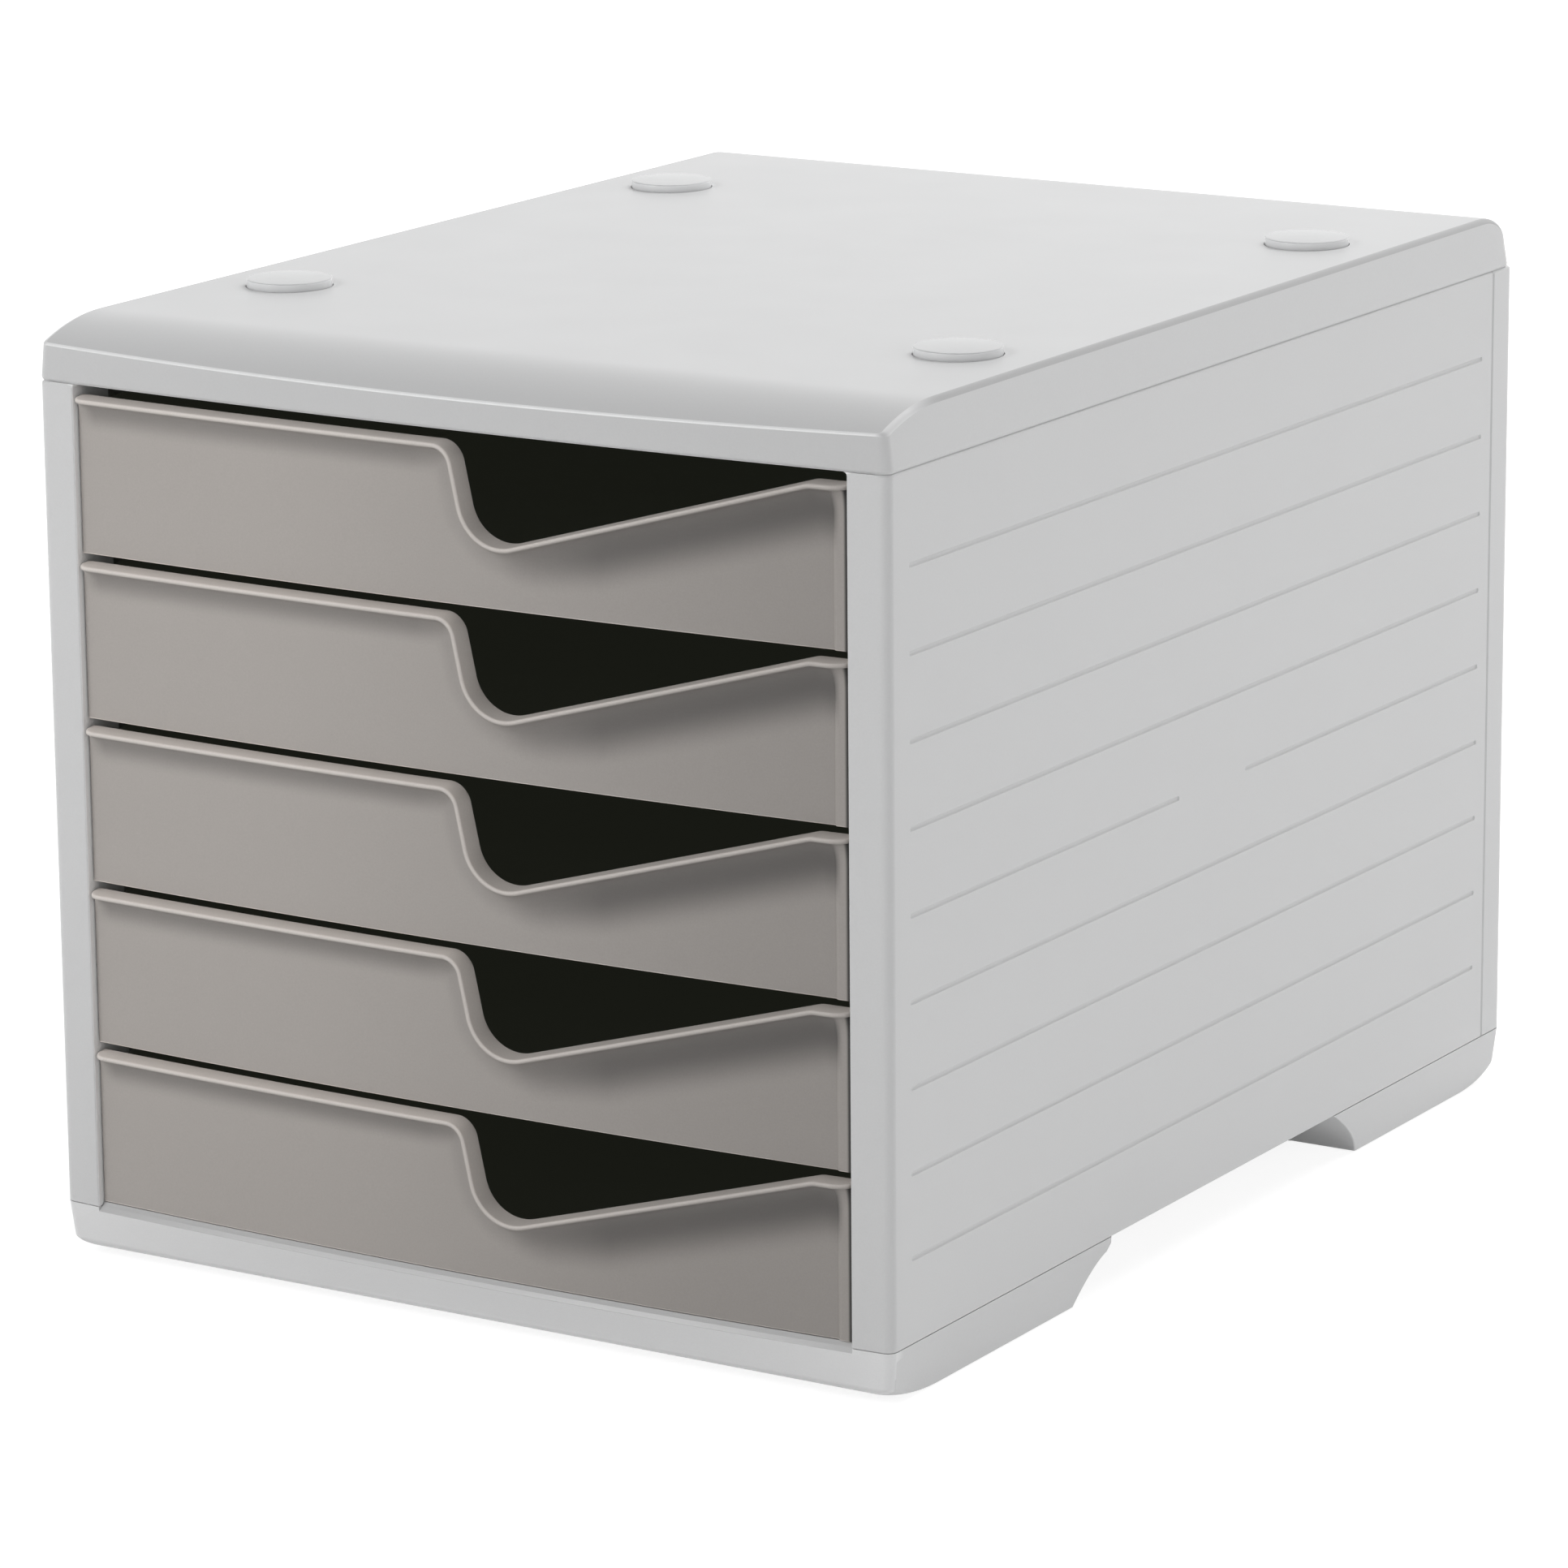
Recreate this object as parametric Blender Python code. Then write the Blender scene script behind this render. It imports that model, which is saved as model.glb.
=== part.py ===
"""Desktop file drawer: a pale box on two plinth feet, with five pull-out drawers.

The drawers open towards -Y. The origin is on the table top, under the middle of the whole object.
All sizes are in metres, +Z is up and +X is to the right when facing the drawers.
"""

from math import atan2, cos, pi, radians, sin, sqrt, tan

import bmesh
import bpy

# Whole casing
CASE_WIDTH = 0.280
CASE_DEPTH = 0.375
FRONT_BOW = 0.0045
WALL = 0.0025
SEAM = 0.0003
DRAWER_COUNT = 5
DRAWER_PITCH = 0.0481
DRAWER_GAP = 0.0025
GAP_OVER_BASE = 0.0010
GAP_UNDER_COVER = 0.0036

# Base: two plinth feet, an arch between them and a rolled underside
BASE_HEIGHT = 0.0164
PAD_STAND_OFF = 0.0005
FOOT_TAPER = 0.0015
FRONT_FOOT_LENGTH = 0.1225
REAR_FOOT_LENGTH = 0.1150
FRONT_ARCH_RUN = 0.0200
REAR_ARCH_RUN = 0.0170
UNDERSIDE_RUN = 0.0165
UNDERSIDE_RISE = 0.0050
BASE_FRONT_LEAN = 0.0010
BASE_REAR_LEAN = 0.0015
BASE_CORNER_RADIUS = 0.0090
FLOOR_PLATE_INSET = 0.0100

# Cover: drafted sides, a nose that rolls down to the bowed front, a rounded rear
COVER_HEIGHT = 0.0164
COVER_DRAFT = 0.0010
COVER_EDGE_ROUND = 0.0014
NOSE_RUN = 0.0270
NOSE_DROP = 0.0058
COVER_REAR_ROUND = 0.0170
COVER_REAR_DROP = 0.0140
COVER_REAR_INSET = 0.0035

# Upright edges and the notches along the seams
FRONT_CORNER_RADIUS = 0.0030
REAR_CORNER_RADIUS = 0.0045
SEAM_NOTCH = 0.0008

# Side walls
COLUMN_WIDTH = 0.0125
COLUMN_DEPTH = 0.0160
COLUMN_FACE = 0.0030
COLUMN_FLANGE = 0.0025
BACK_WRAP = 0.0148
TONGUE_LENGTH = 0.0060
LINE_COUNT = 9
LINE_WIDTH = 0.0014
LINE_DEPTH = 0.0005
LINE_FRONT_MARGIN = 0.0105
LINE_REAR_MARGIN = 0.0217
BLANK_START = 0.1612
BLANK_LENGTH = 0.0400
LEDGE_THICKNESS = 0.0020
LEDGE_REACH = 0.0080
LEDGE_OVERLAP = 0.0010
END_STOP_HEIGHT = 0.0060
END_STOP_THICKNESS = 0.0025
STOP_SETBACK = 0.0010

# Drawer fronts
FACE_SETBACK = 0.0022
FACE_THICKNESS = 0.0025
FRONT_SIDE_GAP = 0.0006
LIP_REACH = 0.0022
LIP_DROP = 0.0010
LIP_NOSE = 0.0007
SCOOP_HEIGHT = 0.0066
LIP_END_RADIUS = 0.0045
RIM_WIDTH = 0.0033
RIM_RISE = 0.0008
FRONT_EDGE_ROUND = 0.0008
CUT_LEFT = 0.0042
CUT_CORNER = 0.0109
CUT_DEPTH = 0.0304
CUT_END_MARGIN = 0.0101
CUT_TOP_RADIUS = 0.0065
CUT_BOTTOM_RADIUS = 0.0130
CUT_END_RADIUS = 0.0080

# Drawer trays
TRAY_WALL = 0.0018
TRAY_SIDE_GAP = 0.0016
TRAY_HEADROOM = 0.0048
TRAY_CORNER_RADIUS = 0.0040
DRAWER_TRAVEL = 0.2400
LUG_LENGTH = 0.0120
LUG_HEIGHT = 0.0080
LUG_OVERLAP = 0.0009

# Discs on the cover and pads under the feet
DISC_RADIUS = 0.0125
DISC_WALL = 0.0019
DISC_EDGE = 0.0004
DISC_DOME = 0.0004
DISC_INSET_X = 0.0277
DISC_FRONT_INSET = 0.0840
DISC_REAR_INSET = 0.0850
SEAT_DEPTH = 0.0006
PAD_THICKNESS = 0.0014

# Extra length of every cutting or trimming body beyond what it cuts
OVERRUN = 0.0100

# Facets
ARC_STEPS = 4
BOW_STEPS = 14
ROUND_STEPS = 28
FILLET_STEPS = 6

# Worked out from the sizes above
HALF_WIDTH = CASE_WIDTH / 2
REAR_Y = (CASE_DEPTH + FRONT_BOW + LIP_REACH) / 2
FRONT_Y = REAR_Y - CASE_DEPTH
WALL_BOTTOM = BASE_HEIGHT
COVER_BOTTOM = (
    WALL_BOTTOM + GAP_OVER_BASE + DRAWER_COUNT * DRAWER_PITCH - DRAWER_GAP + GAP_UNDER_COVER
)
WALL_TOP = COVER_BOTTOM - SEAM
BASE_TOP = WALL_BOTTOM - SEAM
COVER_TOP = COVER_BOTTOM + COVER_HEIGHT
HALF_OPENING = HALF_WIDTH - COLUMN_WIDTH
HALF_FRONT = HALF_OPENING - FRONT_SIDE_GAP
HALF_TRAY = HALF_OPENING - TRAY_SIDE_GAP
FRONT_HEIGHT = DRAWER_PITCH - DRAWER_GAP
COLUMN_REAR = FRONT_Y + COLUMN_DEPTH
SIDE_WALL_REAR = REAR_Y - BACK_WRAP
TRAY_REAR = SIDE_WALL_REAR - STOP_SETBACK - END_STOP_THICKNESS - SEAM
TRAY_FRONT_OFFSET = FACE_SETBACK + FACE_THICKNESS + SEAM
TRAY_HEIGHT = DRAWER_PITCH - LEDGE_THICKNESS - SEAM - TRAY_HEADROOM
FRONT_FOOT_END = FRONT_Y + FRONT_FOOT_LENGTH
REAR_FOOT_END = REAR_Y - REAR_FOOT_LENGTH

# Outline of the arch beside each foot, as (share of the run, share of the foot's height)
FRONT_ARCH_SHARES = (
    (1.00, 0.00),
    (0.82, 0.20),
    (0.65, 0.39),
    (0.45, 0.56),
    (0.29, 0.67),
    (0.11, 0.75),
    (0.06, 0.82),
    (0.00, 0.88),
    (0.00, 1.00),
)
REAR_ARCH_SHARES = (
    (1.00, 0.00),
    (0.98, 0.14),
    (0.84, 0.33),
    (0.56, 0.60),
    (0.26, 0.83),
    (0.00, 1.00),
)
FOOT_LEVEL_SHARES = (0.00, 0.03, 0.12, 0.22, 0.31, 0.44, 0.58, 0.70, 0.78, 0.86, 1.00)
# The rounded rear of the cover, as (share of the rounding's run, share of its drop)
COVER_REAR_SHARES = ((0.0, 0.0), (0.3, 0.04), (0.55, 0.11), (0.78, 0.24), (0.92, 0.5), (1.0, 1.0))
# Where the scoop under the lip is sampled, as shares of its height
SCOOP_SHARES = (0.07, 0.25, 0.55, 1.0)
# Where the dome of a disc is sampled, as shares of its radius
DOME_SHARES = (1.0, 0.5, 0.2)


def arc_y(x):
    """The bowed front in plan: a parabola that stands out most in the middle."""
    return FRONT_Y - FRONT_BOW * (1 - (x / HALF_WIDTH) ** 2)


def material(name, colour, roughness):
    made = bpy.data.materials.new(name)
    made.use_nodes = True
    shader = made.node_tree.nodes["Principled BSDF"]
    shader.inputs["Base Color"].default_value = (*colour, 1)
    shader.inputs["Roughness"].default_value = roughness
    shader.inputs["Metallic"].default_value = 0
    return made


def object_from(name, mesh_builder, finish=None):
    """A new object whose closed mesh has its faces pointing outwards."""
    bmesh.ops.recalc_face_normals(mesh_builder, faces=mesh_builder.faces)
    mesh = bpy.data.meshes.new(name)
    mesh_builder.to_mesh(mesh)
    mesh_builder.free()
    made = bpy.data.objects.new(name, mesh)
    bpy.context.scene.collection.objects.link(made)
    if finish:
        mesh.materials.append(finish)
    return made


def add_loft(builder, rings):
    """Skins equal rings of points into one closed body, with its first and last ring filled."""
    loops = [[builder.verts.new(point) for point in ring] for ring in rings]
    count = len(loops[0])
    for low, high in zip(loops, loops[1:]):
        for i in range(count):
            j = (i + 1) % count
            builder.faces.new((low[i], low[j], high[j], high[i]))
    builder.faces.new(loops[0][::-1])
    builder.faces.new(loops[-1])


def loft(name, rings, finish=None):
    builder = bmesh.new()
    add_loft(builder, rings)
    return object_from(name, builder, finish)


def box_rings(low, high):
    corners = ((low[0], low[1]), (high[0], low[1]), (high[0], high[1]), (low[0], high[1]))
    return [[(x, y, z) for x, y in corners] for z in (low[2], high[2])]


def combine(target, helper, operation):
    """Cuts, joins or trims the target with another closed body."""
    helper.hide_render = True
    helper.display_type = "WIRE"
    step = target.modifiers.new(f"{operation.lower()} {helper.name}", "BOOLEAN")
    step.operation = operation
    step.solver = "EXACT"
    step.object = helper


def arc_points(centre, radius, start, end, steps=ARC_STEPS):
    """Points on a round corner, both ends included, between two angles in degrees."""
    angles = [radians(start + (end - start) * i / steps) for i in range(steps + 1)]
    return [(centre[0] + radius * cos(a), centre[1] + radius * sin(a)) for a in angles]


def plan_outline(half_width, front, rear, front_radius, rear_radius):
    """A rounded rectangle in plan whose front edge follows the function front(x)."""
    edge_x = half_width - front_radius
    edge_y = front(edge_x) + front_radius
    points = arc_points((-edge_x, edge_y), front_radius, 180, 270)
    for i in range(1, BOW_STEPS):
        x = edge_x * (2 * i / BOW_STEPS - 1)
        points.append((x, front(x)))
    points += arc_points((edge_x, edge_y), front_radius, 270, 360)
    points += arc_points((half_width - rear_radius, rear - rear_radius), rear_radius, 0, 90)
    points += arc_points((rear_radius - half_width, rear - rear_radius), rear_radius, 90, 180)
    return points


def at_height(points, z):
    return [(x, y, z) for x, y in points]


def interpolated(shares, share):
    """The first value of a table of (value, height share) pairs at a height share."""
    for (low_value, low), (high_value, high) in zip(shares, shares[1:]):
        if share <= high:
            return low_value + (high_value - low_value) * (share - low) / (high - low)
    return shares[-1][0]


def underside_roll(rise):
    """How far the rolled underside draws a foot's end in, at a height above the foot's bottom."""
    if rise >= UNDERSIDE_RISE:
        return 0
    return UNDERSIDE_RUN * (1 - sqrt(1 - (1 - rise / UNDERSIDE_RISE) ** 2))


def foot_ring(share, is_front, inset, lift):
    """One level of a foot: inset shrinks it on all sides and lift raises it, for the hollow inside."""
    height = BASE_TOP - PAD_STAND_OFF
    rise = share * height
    half_width = HALF_WIDTH - FOOT_TAPER * (1 - share) - inset
    roll = underside_roll(rise)
    round_share = 1 - min(rise / UNDERSIDE_RISE, 1)
    z = PAD_STAND_OFF + rise + lift
    if is_front:
        corner = FRONT_CORNER_RADIUS + (BASE_CORNER_RADIUS - FRONT_CORNER_RADIUS) * round_share
        bow = FRONT_BOW * max(rise - UNDERSIDE_RISE, 0) / (height - UNDERSIDE_RISE)
        lean = BASE_FRONT_LEAN * (1 - share)

        def front(x):
            return FRONT_Y - bow * (1 - (x / HALF_WIDTH) ** 2) + lean + roll + inset

        rear = FRONT_FOOT_END - FRONT_ARCH_RUN * interpolated(FRONT_ARCH_SHARES, share) - inset
        outline = plan_outline(half_width, front, rear, corner, SEAM_NOTCH)
    else:
        corner = REAR_CORNER_RADIUS + (BASE_CORNER_RADIUS - REAR_CORNER_RADIUS) * round_share
        start = REAR_FOOT_END + REAR_ARCH_RUN * interpolated(REAR_ARCH_SHARES, share) + inset
        rear = REAR_Y - BASE_REAR_LEAN * (1 - share) - roll - inset
        outline = plan_outline(half_width, lambda x: start, rear, SEAM_NOTCH, corner)
    return at_height(outline, z)


def foot(name, is_front, finish=None):
    """A plinth foot: a dished shell that is open at the top."""
    shell = loft(name, [foot_ring(share, is_front, 0, 0) for share in FOOT_LEVEL_SHARES], finish)
    hollow = [foot_ring(share, is_front, WALL, WALL) for share in FOOT_LEVEL_SHARES]
    inside = loft(f"{name} hollow", hollow)
    combine(shell, inside, "DIFFERENCE")
    return shell


def base_tray(finish, pad_places):
    base = foot("base_tray", True, finish)
    combine(base, foot("rear foot", False), "UNION")
    plate_overlap = WALL + WALL / 2
    plate_low = (
        FLOOR_PLATE_INSET - HALF_WIDTH,
        FRONT_FOOT_END - plate_overlap,
        BASE_TOP - WALL,
    )
    plate_high = (HALF_WIDTH - FLOOR_PLATE_INSET, REAR_FOOT_END + plate_overlap, BASE_TOP)
    combine(base, loft("floor plate", box_rings(plate_low, plate_high)), "UNION")
    builder = bmesh.new()
    seat_radius = DISC_RADIUS + SEAM
    profile = ((seat_radius, -OVERRUN), (seat_radius, PAD_THICKNESS + SEAM))
    for x, y in pad_places:
        add_loft(builder, round_rings(x, y, profile))
    combine(base, object_from("pad seats", builder), "DIFFERENCE")
    return base


def round_rings(x, y, profile):
    """Circles about an upright axis through (x, y), one for each (radius, height)."""
    turns = [2 * pi * i / ROUND_STEPS for i in range(ROUND_STEPS)]
    return [[(x + r * cos(a), y + r * sin(a), z) for a in turns] for r, z in profile]


def cover_outline(z, half_width, notch, inset):
    return at_height(
        plan_outline(
            half_width - inset,
            lambda x: arc_y(x) + inset + notch / 2,
            REAR_Y - notch - inset,
            FRONT_CORNER_RADIUS,
            REAR_CORNER_RADIUS,
        ),
        z,
    )


def cover_plan(name, inset, drop, finish=None):
    """The cover seen from above, as a tall body whose sides lean in and round off at the top."""
    edge_z = COVER_TOP - COVER_EDGE_ROUND - drop
    top_width = HALF_WIDTH - COVER_DRAFT
    rings = [
        cover_outline(COVER_BOTTOM, HALF_WIDTH - SEAM_NOTCH, SEAM_NOTCH, inset),
        cover_outline(COVER_BOTTOM + 2 * SEAM_NOTCH, HALF_WIDTH, 0, inset),
        cover_outline(edge_z, top_width, 0, inset),
    ]
    if inset:
        start = cover_outline(COVER_BOTTOM - OVERRUN, HALF_WIDTH - SEAM_NOTCH, SEAM_NOTCH, inset)
        rings.insert(0, start)
    for i in range(1, ARC_STEPS):
        turn = radians(90 * i / ARC_STEPS)
        width = top_width - COVER_EDGE_ROUND * (1 - cos(turn))
        rings.append(cover_outline(edge_z + COVER_EDGE_ROUND * sin(turn), width, 0, inset))
    width = top_width - COVER_EDGE_ROUND
    rings.append(cover_outline(COVER_TOP - drop + OVERRUN, width, 0, inset))
    return loft(name, rings, finish)


def cover_profile(name, drop):
    """The cover seen from the side: the nose, the flat top and the rounded rear, drawn along X."""
    top = COVER_TOP - drop
    nose_start = FRONT_Y + NOSE_RUN
    reach = NOSE_RUN + FRONT_BOW + OVERRUN
    steps = 2 * FILLET_STEPS
    points = []
    for i in range(steps + 1):
        ahead = reach * (1 - i / steps)
        points.append((nose_start - ahead, top - NOSE_DROP * (ahead / NOSE_RUN) ** 2))
    round_start = REAR_Y - COVER_REAR_INSET - COVER_REAR_ROUND - drop
    for run_share, drop_share in COVER_REAR_SHARES:
        points.append(
            (round_start + COVER_REAR_ROUND * run_share, top - COVER_REAR_DROP * drop_share)
        )
    points.append((REAR_Y - drop, COVER_BOTTOM - OVERRUN))
    points.append((nose_start - reach, COVER_BOTTOM - OVERRUN))
    end_x = HALF_WIDTH + OVERRUN
    return loft(name, [[(x, y, z) for y, z in points] for x in (-end_x, end_x)])


def top_cover(finish, disc_places):
    cover = cover_plan("top_cover", 0, 0, finish)
    combine(cover, cover_profile("cover profile", 0), "INTERSECT")
    inside = cover_plan("cover hollow", WALL, WALL)
    combine(inside, cover_profile("hollow profile", WALL), "INTERSECT")
    combine(cover, inside, "DIFFERENCE")
    builder = bmesh.new()
    seat_radius = DISC_RADIUS + SEAM
    profile = ((seat_radius, COVER_TOP - SEAT_DEPTH), (seat_radius, COVER_TOP + OVERRUN))
    for x, y in disc_places:
        add_loft(builder, round_rings(x, y, profile))
    combine(cover, object_from("disc seats", builder), "DIFFERENCE")
    return cover


def stacking_disc(name, place, finish):
    bottom = COVER_TOP - SEAT_DEPTH + SEAM
    shoulder = COVER_TOP + DISC_WALL
    profile = [(DISC_RADIUS, bottom), (DISC_RADIUS, shoulder)]
    profile.append((DISC_RADIUS - DISC_EDGE / 2, shoulder + DISC_EDGE / 2))
    for share in DOME_SHARES:
        radius = (DISC_RADIUS - 2 * DISC_EDGE) * share
        profile.append((radius, shoulder + DISC_EDGE + DISC_DOME * (1 - share**2)))
    return loft(name, round_rings(*place, profile), finish)


def foot_pad(name, place, finish):
    profile = ((DISC_RADIUS, 0), (DISC_RADIUS, PAD_THICKNESS))
    return loft(name, round_rings(*place, profile), finish)


def wall_plan(notch):
    """The right wall in plan: a column that is hollow at the back, the wall, and a rear tongue."""
    x_out = HALF_WIDTH - notch
    corner = FRONT_CORNER_RADIUS
    corner_y = arc_y(HALF_WIDTH - corner) + corner
    inner_x = HALF_WIDTH - WALL
    tongue_x = inner_x - SEAM
    flange_x = HALF_OPENING + COLUMN_FLANGE
    points = [(HALF_OPENING, COLUMN_REAR), (HALF_OPENING, arc_y(HALF_OPENING))]
    points += arc_points((x_out - corner, corner_y + notch), corner, 270, 360)
    points += [
        (x_out, SIDE_WALL_REAR - SEAM_NOTCH),
        (HALF_WIDTH - SEAM_NOTCH, SIDE_WALL_REAR),
        (tongue_x, SIDE_WALL_REAR),
        (tongue_x, SIDE_WALL_REAR + TONGUE_LENGTH),
        (tongue_x - WALL, SIDE_WALL_REAR + TONGUE_LENGTH),
        (tongue_x - WALL, SIDE_WALL_REAR - TONGUE_LENGTH),
        (inner_x, SIDE_WALL_REAR - 2 * TONGUE_LENGTH),
        (inner_x, arc_y(inner_x) + COLUMN_FACE),
        (flange_x, arc_y(flange_x) + COLUMN_FACE),
        (flange_x, COLUMN_REAR),
    ]
    return points


def line_rings(start, end, z):
    """A pressed line on the right wall's outer face, with half-round ends, running along Y."""
    radius = LINE_WIDTH / 2
    outline = arc_points((start + radius, z), radius, 90, 270)
    outline += arc_points((end - radius, z), radius, 270, 450)
    depths = (HALF_WIDTH - LINE_DEPTH, HALF_WIDTH + OVERRUN)
    return [[(x, y, line_z) for y, line_z in outline] for x in depths]


def pressed_lines():
    """(start, end, height) of every line: the middle one leaves a blank stretch."""
    start = FRONT_Y + LINE_FRONT_MARGIN
    end = REAR_Y - LINE_REAR_MARGIN
    spacing = DRAWER_PITCH / 2
    lowest = WALL_BOTTOM + spacing
    lines = []
    for i in range(LINE_COUNT):
        z = lowest + i * spacing
        if i == LINE_COUNT // 2:
            blank = FRONT_Y + BLANK_START
            lines.append((start, blank, z))
            lines.append((blank + BLANK_LENGTH, end, z))
        else:
            lines.append((start, end, z))
    return lines


def front_bottom(number):
    """Height of the lower edge of a drawer front, counted from 1 at the top."""
    return WALL_BOTTOM + GAP_OVER_BASE + (DRAWER_COUNT - number) * DRAWER_PITCH


def ledge_rings(number):
    """A ledge that carries a drawer tray, with the end stop that the closed tray meets."""
    low = front_bottom(number)
    high = low + LEDGE_THICKNESS
    start = COLUMN_REAR - COLUMN_FLANGE
    stop = TRAY_REAR + SEAM
    end = stop + END_STOP_THICKNESS
    outline = (
        (start, low),
        (end, low),
        (end, high + END_STOP_HEIGHT),
        (stop, high + END_STOP_HEIGHT),
        (stop, high),
        (start, high),
    )
    spans = (HALF_TRAY - LEDGE_REACH, HALF_WIDTH - WALL + LEDGE_OVERLAP)
    return [[(x, y, z) for y, z in outline] for x in spans]


def mirrored(rings, side):
    return [[(side * x, y, z) for x, y, z in ring] for ring in rings]


def side_wall(name, side, finish):
    """side is 1 for the right wall and -1 for the left."""
    levels = ((WALL_BOTTOM, 0), (WALL_TOP - SEAM_NOTCH, 0), (WALL_TOP, SEAM_NOTCH))
    rings = [at_height(wall_plan(notch), z) for z, notch in levels]
    wall = loft(name, mirrored(rings, side), finish)
    ledges = bmesh.new()
    for number in range(1, DRAWER_COUNT + 1):
        add_loft(ledges, mirrored(ledge_rings(number), side))
    combine(wall, object_from(f"{name} ledges", ledges), "UNION")
    lines = bmesh.new()
    for line in pressed_lines():
        add_loft(lines, mirrored(line_rings(*line), side))
    combine(wall, object_from(f"{name} lines", lines), "DIFFERENCE")
    return wall


def back_plan(notch):
    """The back panel in plan: a flat wall with both ends wrapped round the rear corners."""
    start = SIDE_WALL_REAR + SEAM
    x_out = HALF_WIDTH - notch
    radius = REAR_CORNER_RADIUS
    inner_x = HALF_WIDTH - WALL
    inner_radius = radius - WALL
    inner_y = REAR_Y - WALL
    half = [(inner_x, start), (HALF_WIDTH - SEAM_NOTCH, start), (x_out, start + SEAM_NOTCH)]
    half += arc_points((x_out - radius, REAR_Y - notch - radius), radius, 0, 90)
    inner = arc_points((inner_x - inner_radius, inner_y - inner_radius), inner_radius, 90, 0)
    left = [(-x, y) for x, y in reversed(half)]
    left_inner = [(-x, y) for x, y in reversed(inner)]
    return half + left + left_inner + inner


def back_panel(finish):
    levels = ((WALL_BOTTOM, 0), (WALL_TOP - SEAM_NOTCH, 0), (WALL_TOP, SEAM_NOTCH))
    return loft("back_panel", [at_height(back_plan(notch), z) for z, notch in levels], finish)


def edge_path():
    """The upper edge of a drawer front, from left to right, as (x, depth below the top, normal).

    It is level, dives round a tight bend into the finger cut, turns round a wide bend and climbs
    in a straight line to the right end. The normal points into the front.
    """
    corners = [
        (-HALF_FRONT, 0),
        (CUT_LEFT, 0),
        (CUT_CORNER, CUT_DEPTH),
        (HALF_FRONT - CUT_END_MARGIN, 0),
        (HALF_FRONT, 0),
    ]
    radii = (CUT_TOP_RADIUS, CUT_BOTTOM_RADIUS, CUT_END_RADIUS)
    path = []

    def straight(start, end, angle, count):
        for i in range(count + 1):
            share = i / count
            x = start[0] + (end[0] - start[0]) * share
            depth = start[1] + (end[1] - start[1]) * share
            path.append((x, depth, (sin(angle), cos(angle))))

    at = corners[0]
    for before, corner, after, radius in zip(corners, corners[1:], corners[2:], radii):
        first = atan2(before[1] - corner[1], corner[0] - before[0])
        second = atan2(corner[1] - after[1], after[0] - corner[0])
        half_turn = (second - first) / 2
        tangent = radius * tan(abs(half_turn))
        bend_start = (corner[0] - tangent * cos(first), corner[1] + tangent * sin(first))
        bend_end = (corner[0] + tangent * cos(second), corner[1] - tangent * sin(second))
        steps = max(1, round((bend_start[0] - at[0]) / (HALF_WIDTH / BOW_STEPS * 2)))
        straight(at, bend_start, first, steps)
        way = 1 if half_turn < 0 else -1
        centre = (bend_start[0] + way * radius * sin(first), bend_start[1] + way * radius * cos(first))
        for i in range(1, FILLET_STEPS):
            angle = first + 2 * half_turn * i / FILLET_STEPS
            x = centre[0] - way * radius * sin(angle)
            path.append((x, centre[1] - way * radius * cos(angle), (sin(angle), cos(angle))))
        at = bend_end
    straight(at, corners[-1], 0, 2)
    ends = [(x, depth, normal) for x, depth, normal in path if abs(x) < HALF_FRONT - LIP_END_RADIUS]
    return end_stations(-1) + ends + end_stations(1)


def end_stations(side):
    """Closer stations round the end of the lip, in the order of the path."""
    stations = []
    for i in range(ARC_STEPS + 1):
        turn = radians(90 * i / ARC_STEPS)
        x = HALF_FRONT - LIP_END_RADIUS * (1 - sin(turn))
        stations.append((side * x, 0, (0, 1)))
    return stations if side > 0 else stations[::-1]


def front_ring(x, depth, normal, top, bottom):
    """One closed section of a drawer front, from the rear upper edge over the lip and down."""
    from_end = HALF_FRONT - abs(x)
    into_end = max(1 - from_end / LIP_END_RADIUS, 0)
    full = sqrt(max(1 - into_end**2, 0))
    rim = RIM_RISE * (1 - min(max(from_end / RIM_WIDTH, 0), 1) ** 2)
    edge_round = FRONT_EDGE_ROUND * max(1 - from_end / FRONT_EDGE_ROUND, 0)

    slope_end = LIP_DROP - LIP_NOSE

    def point(along, down, ahead):
        """Below the lip's slope: along the normal, then straight down, and ahead of the face."""
        px = x + normal[0] * along
        pz = top - depth - slope_end - normal[1] * along - down
        return (px, arc_y(px) + FACE_SETBACK - ahead, pz)

    back_y = arc_y(x) + FACE_SETBACK + FACE_THICKNESS
    rim = rim - edge_round
    reach = rim + (FACE_SETBACK + LIP_REACH - rim) * full
    ring = [
        (x, back_y, top - depth),
        point(0, 0, reach - LIP_NOSE),
        point(LIP_NOSE, 0, reach),
        point(2 * LIP_NOSE, 0, reach - LIP_NOSE / 2),
    ]
    for share in SCOOP_SHARES:
        fall = SCOOP_HEIGHT * share
        along = min(fall, CUT_TOP_RADIUS / 2 - LIP_NOSE)
        hollow = 1 - sqrt(1 - (1 - share) ** 2)
        ahead = rim + (reach - LIP_NOSE / 2 - rim) * hollow
        ring.append(point(2 * LIP_NOSE + along, fall - along, ahead))
    foot_x = ring[-1][0]
    face_y = arc_y(foot_x) + FACE_SETBACK - rim
    ring.append((foot_x, face_y, bottom + FRONT_EDGE_ROUND))
    ring.append((foot_x, face_y + FRONT_EDGE_ROUND, bottom))
    ring.append((x, back_y, bottom))
    return ring


def drawer_front(name, number, finish):
    bottom = front_bottom(number)
    top = bottom + FRONT_HEIGHT
    rings = [front_ring(x, depth, normal, top, bottom) for x, depth, normal in edge_path()]
    return loft(name, rings, finish)


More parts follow.
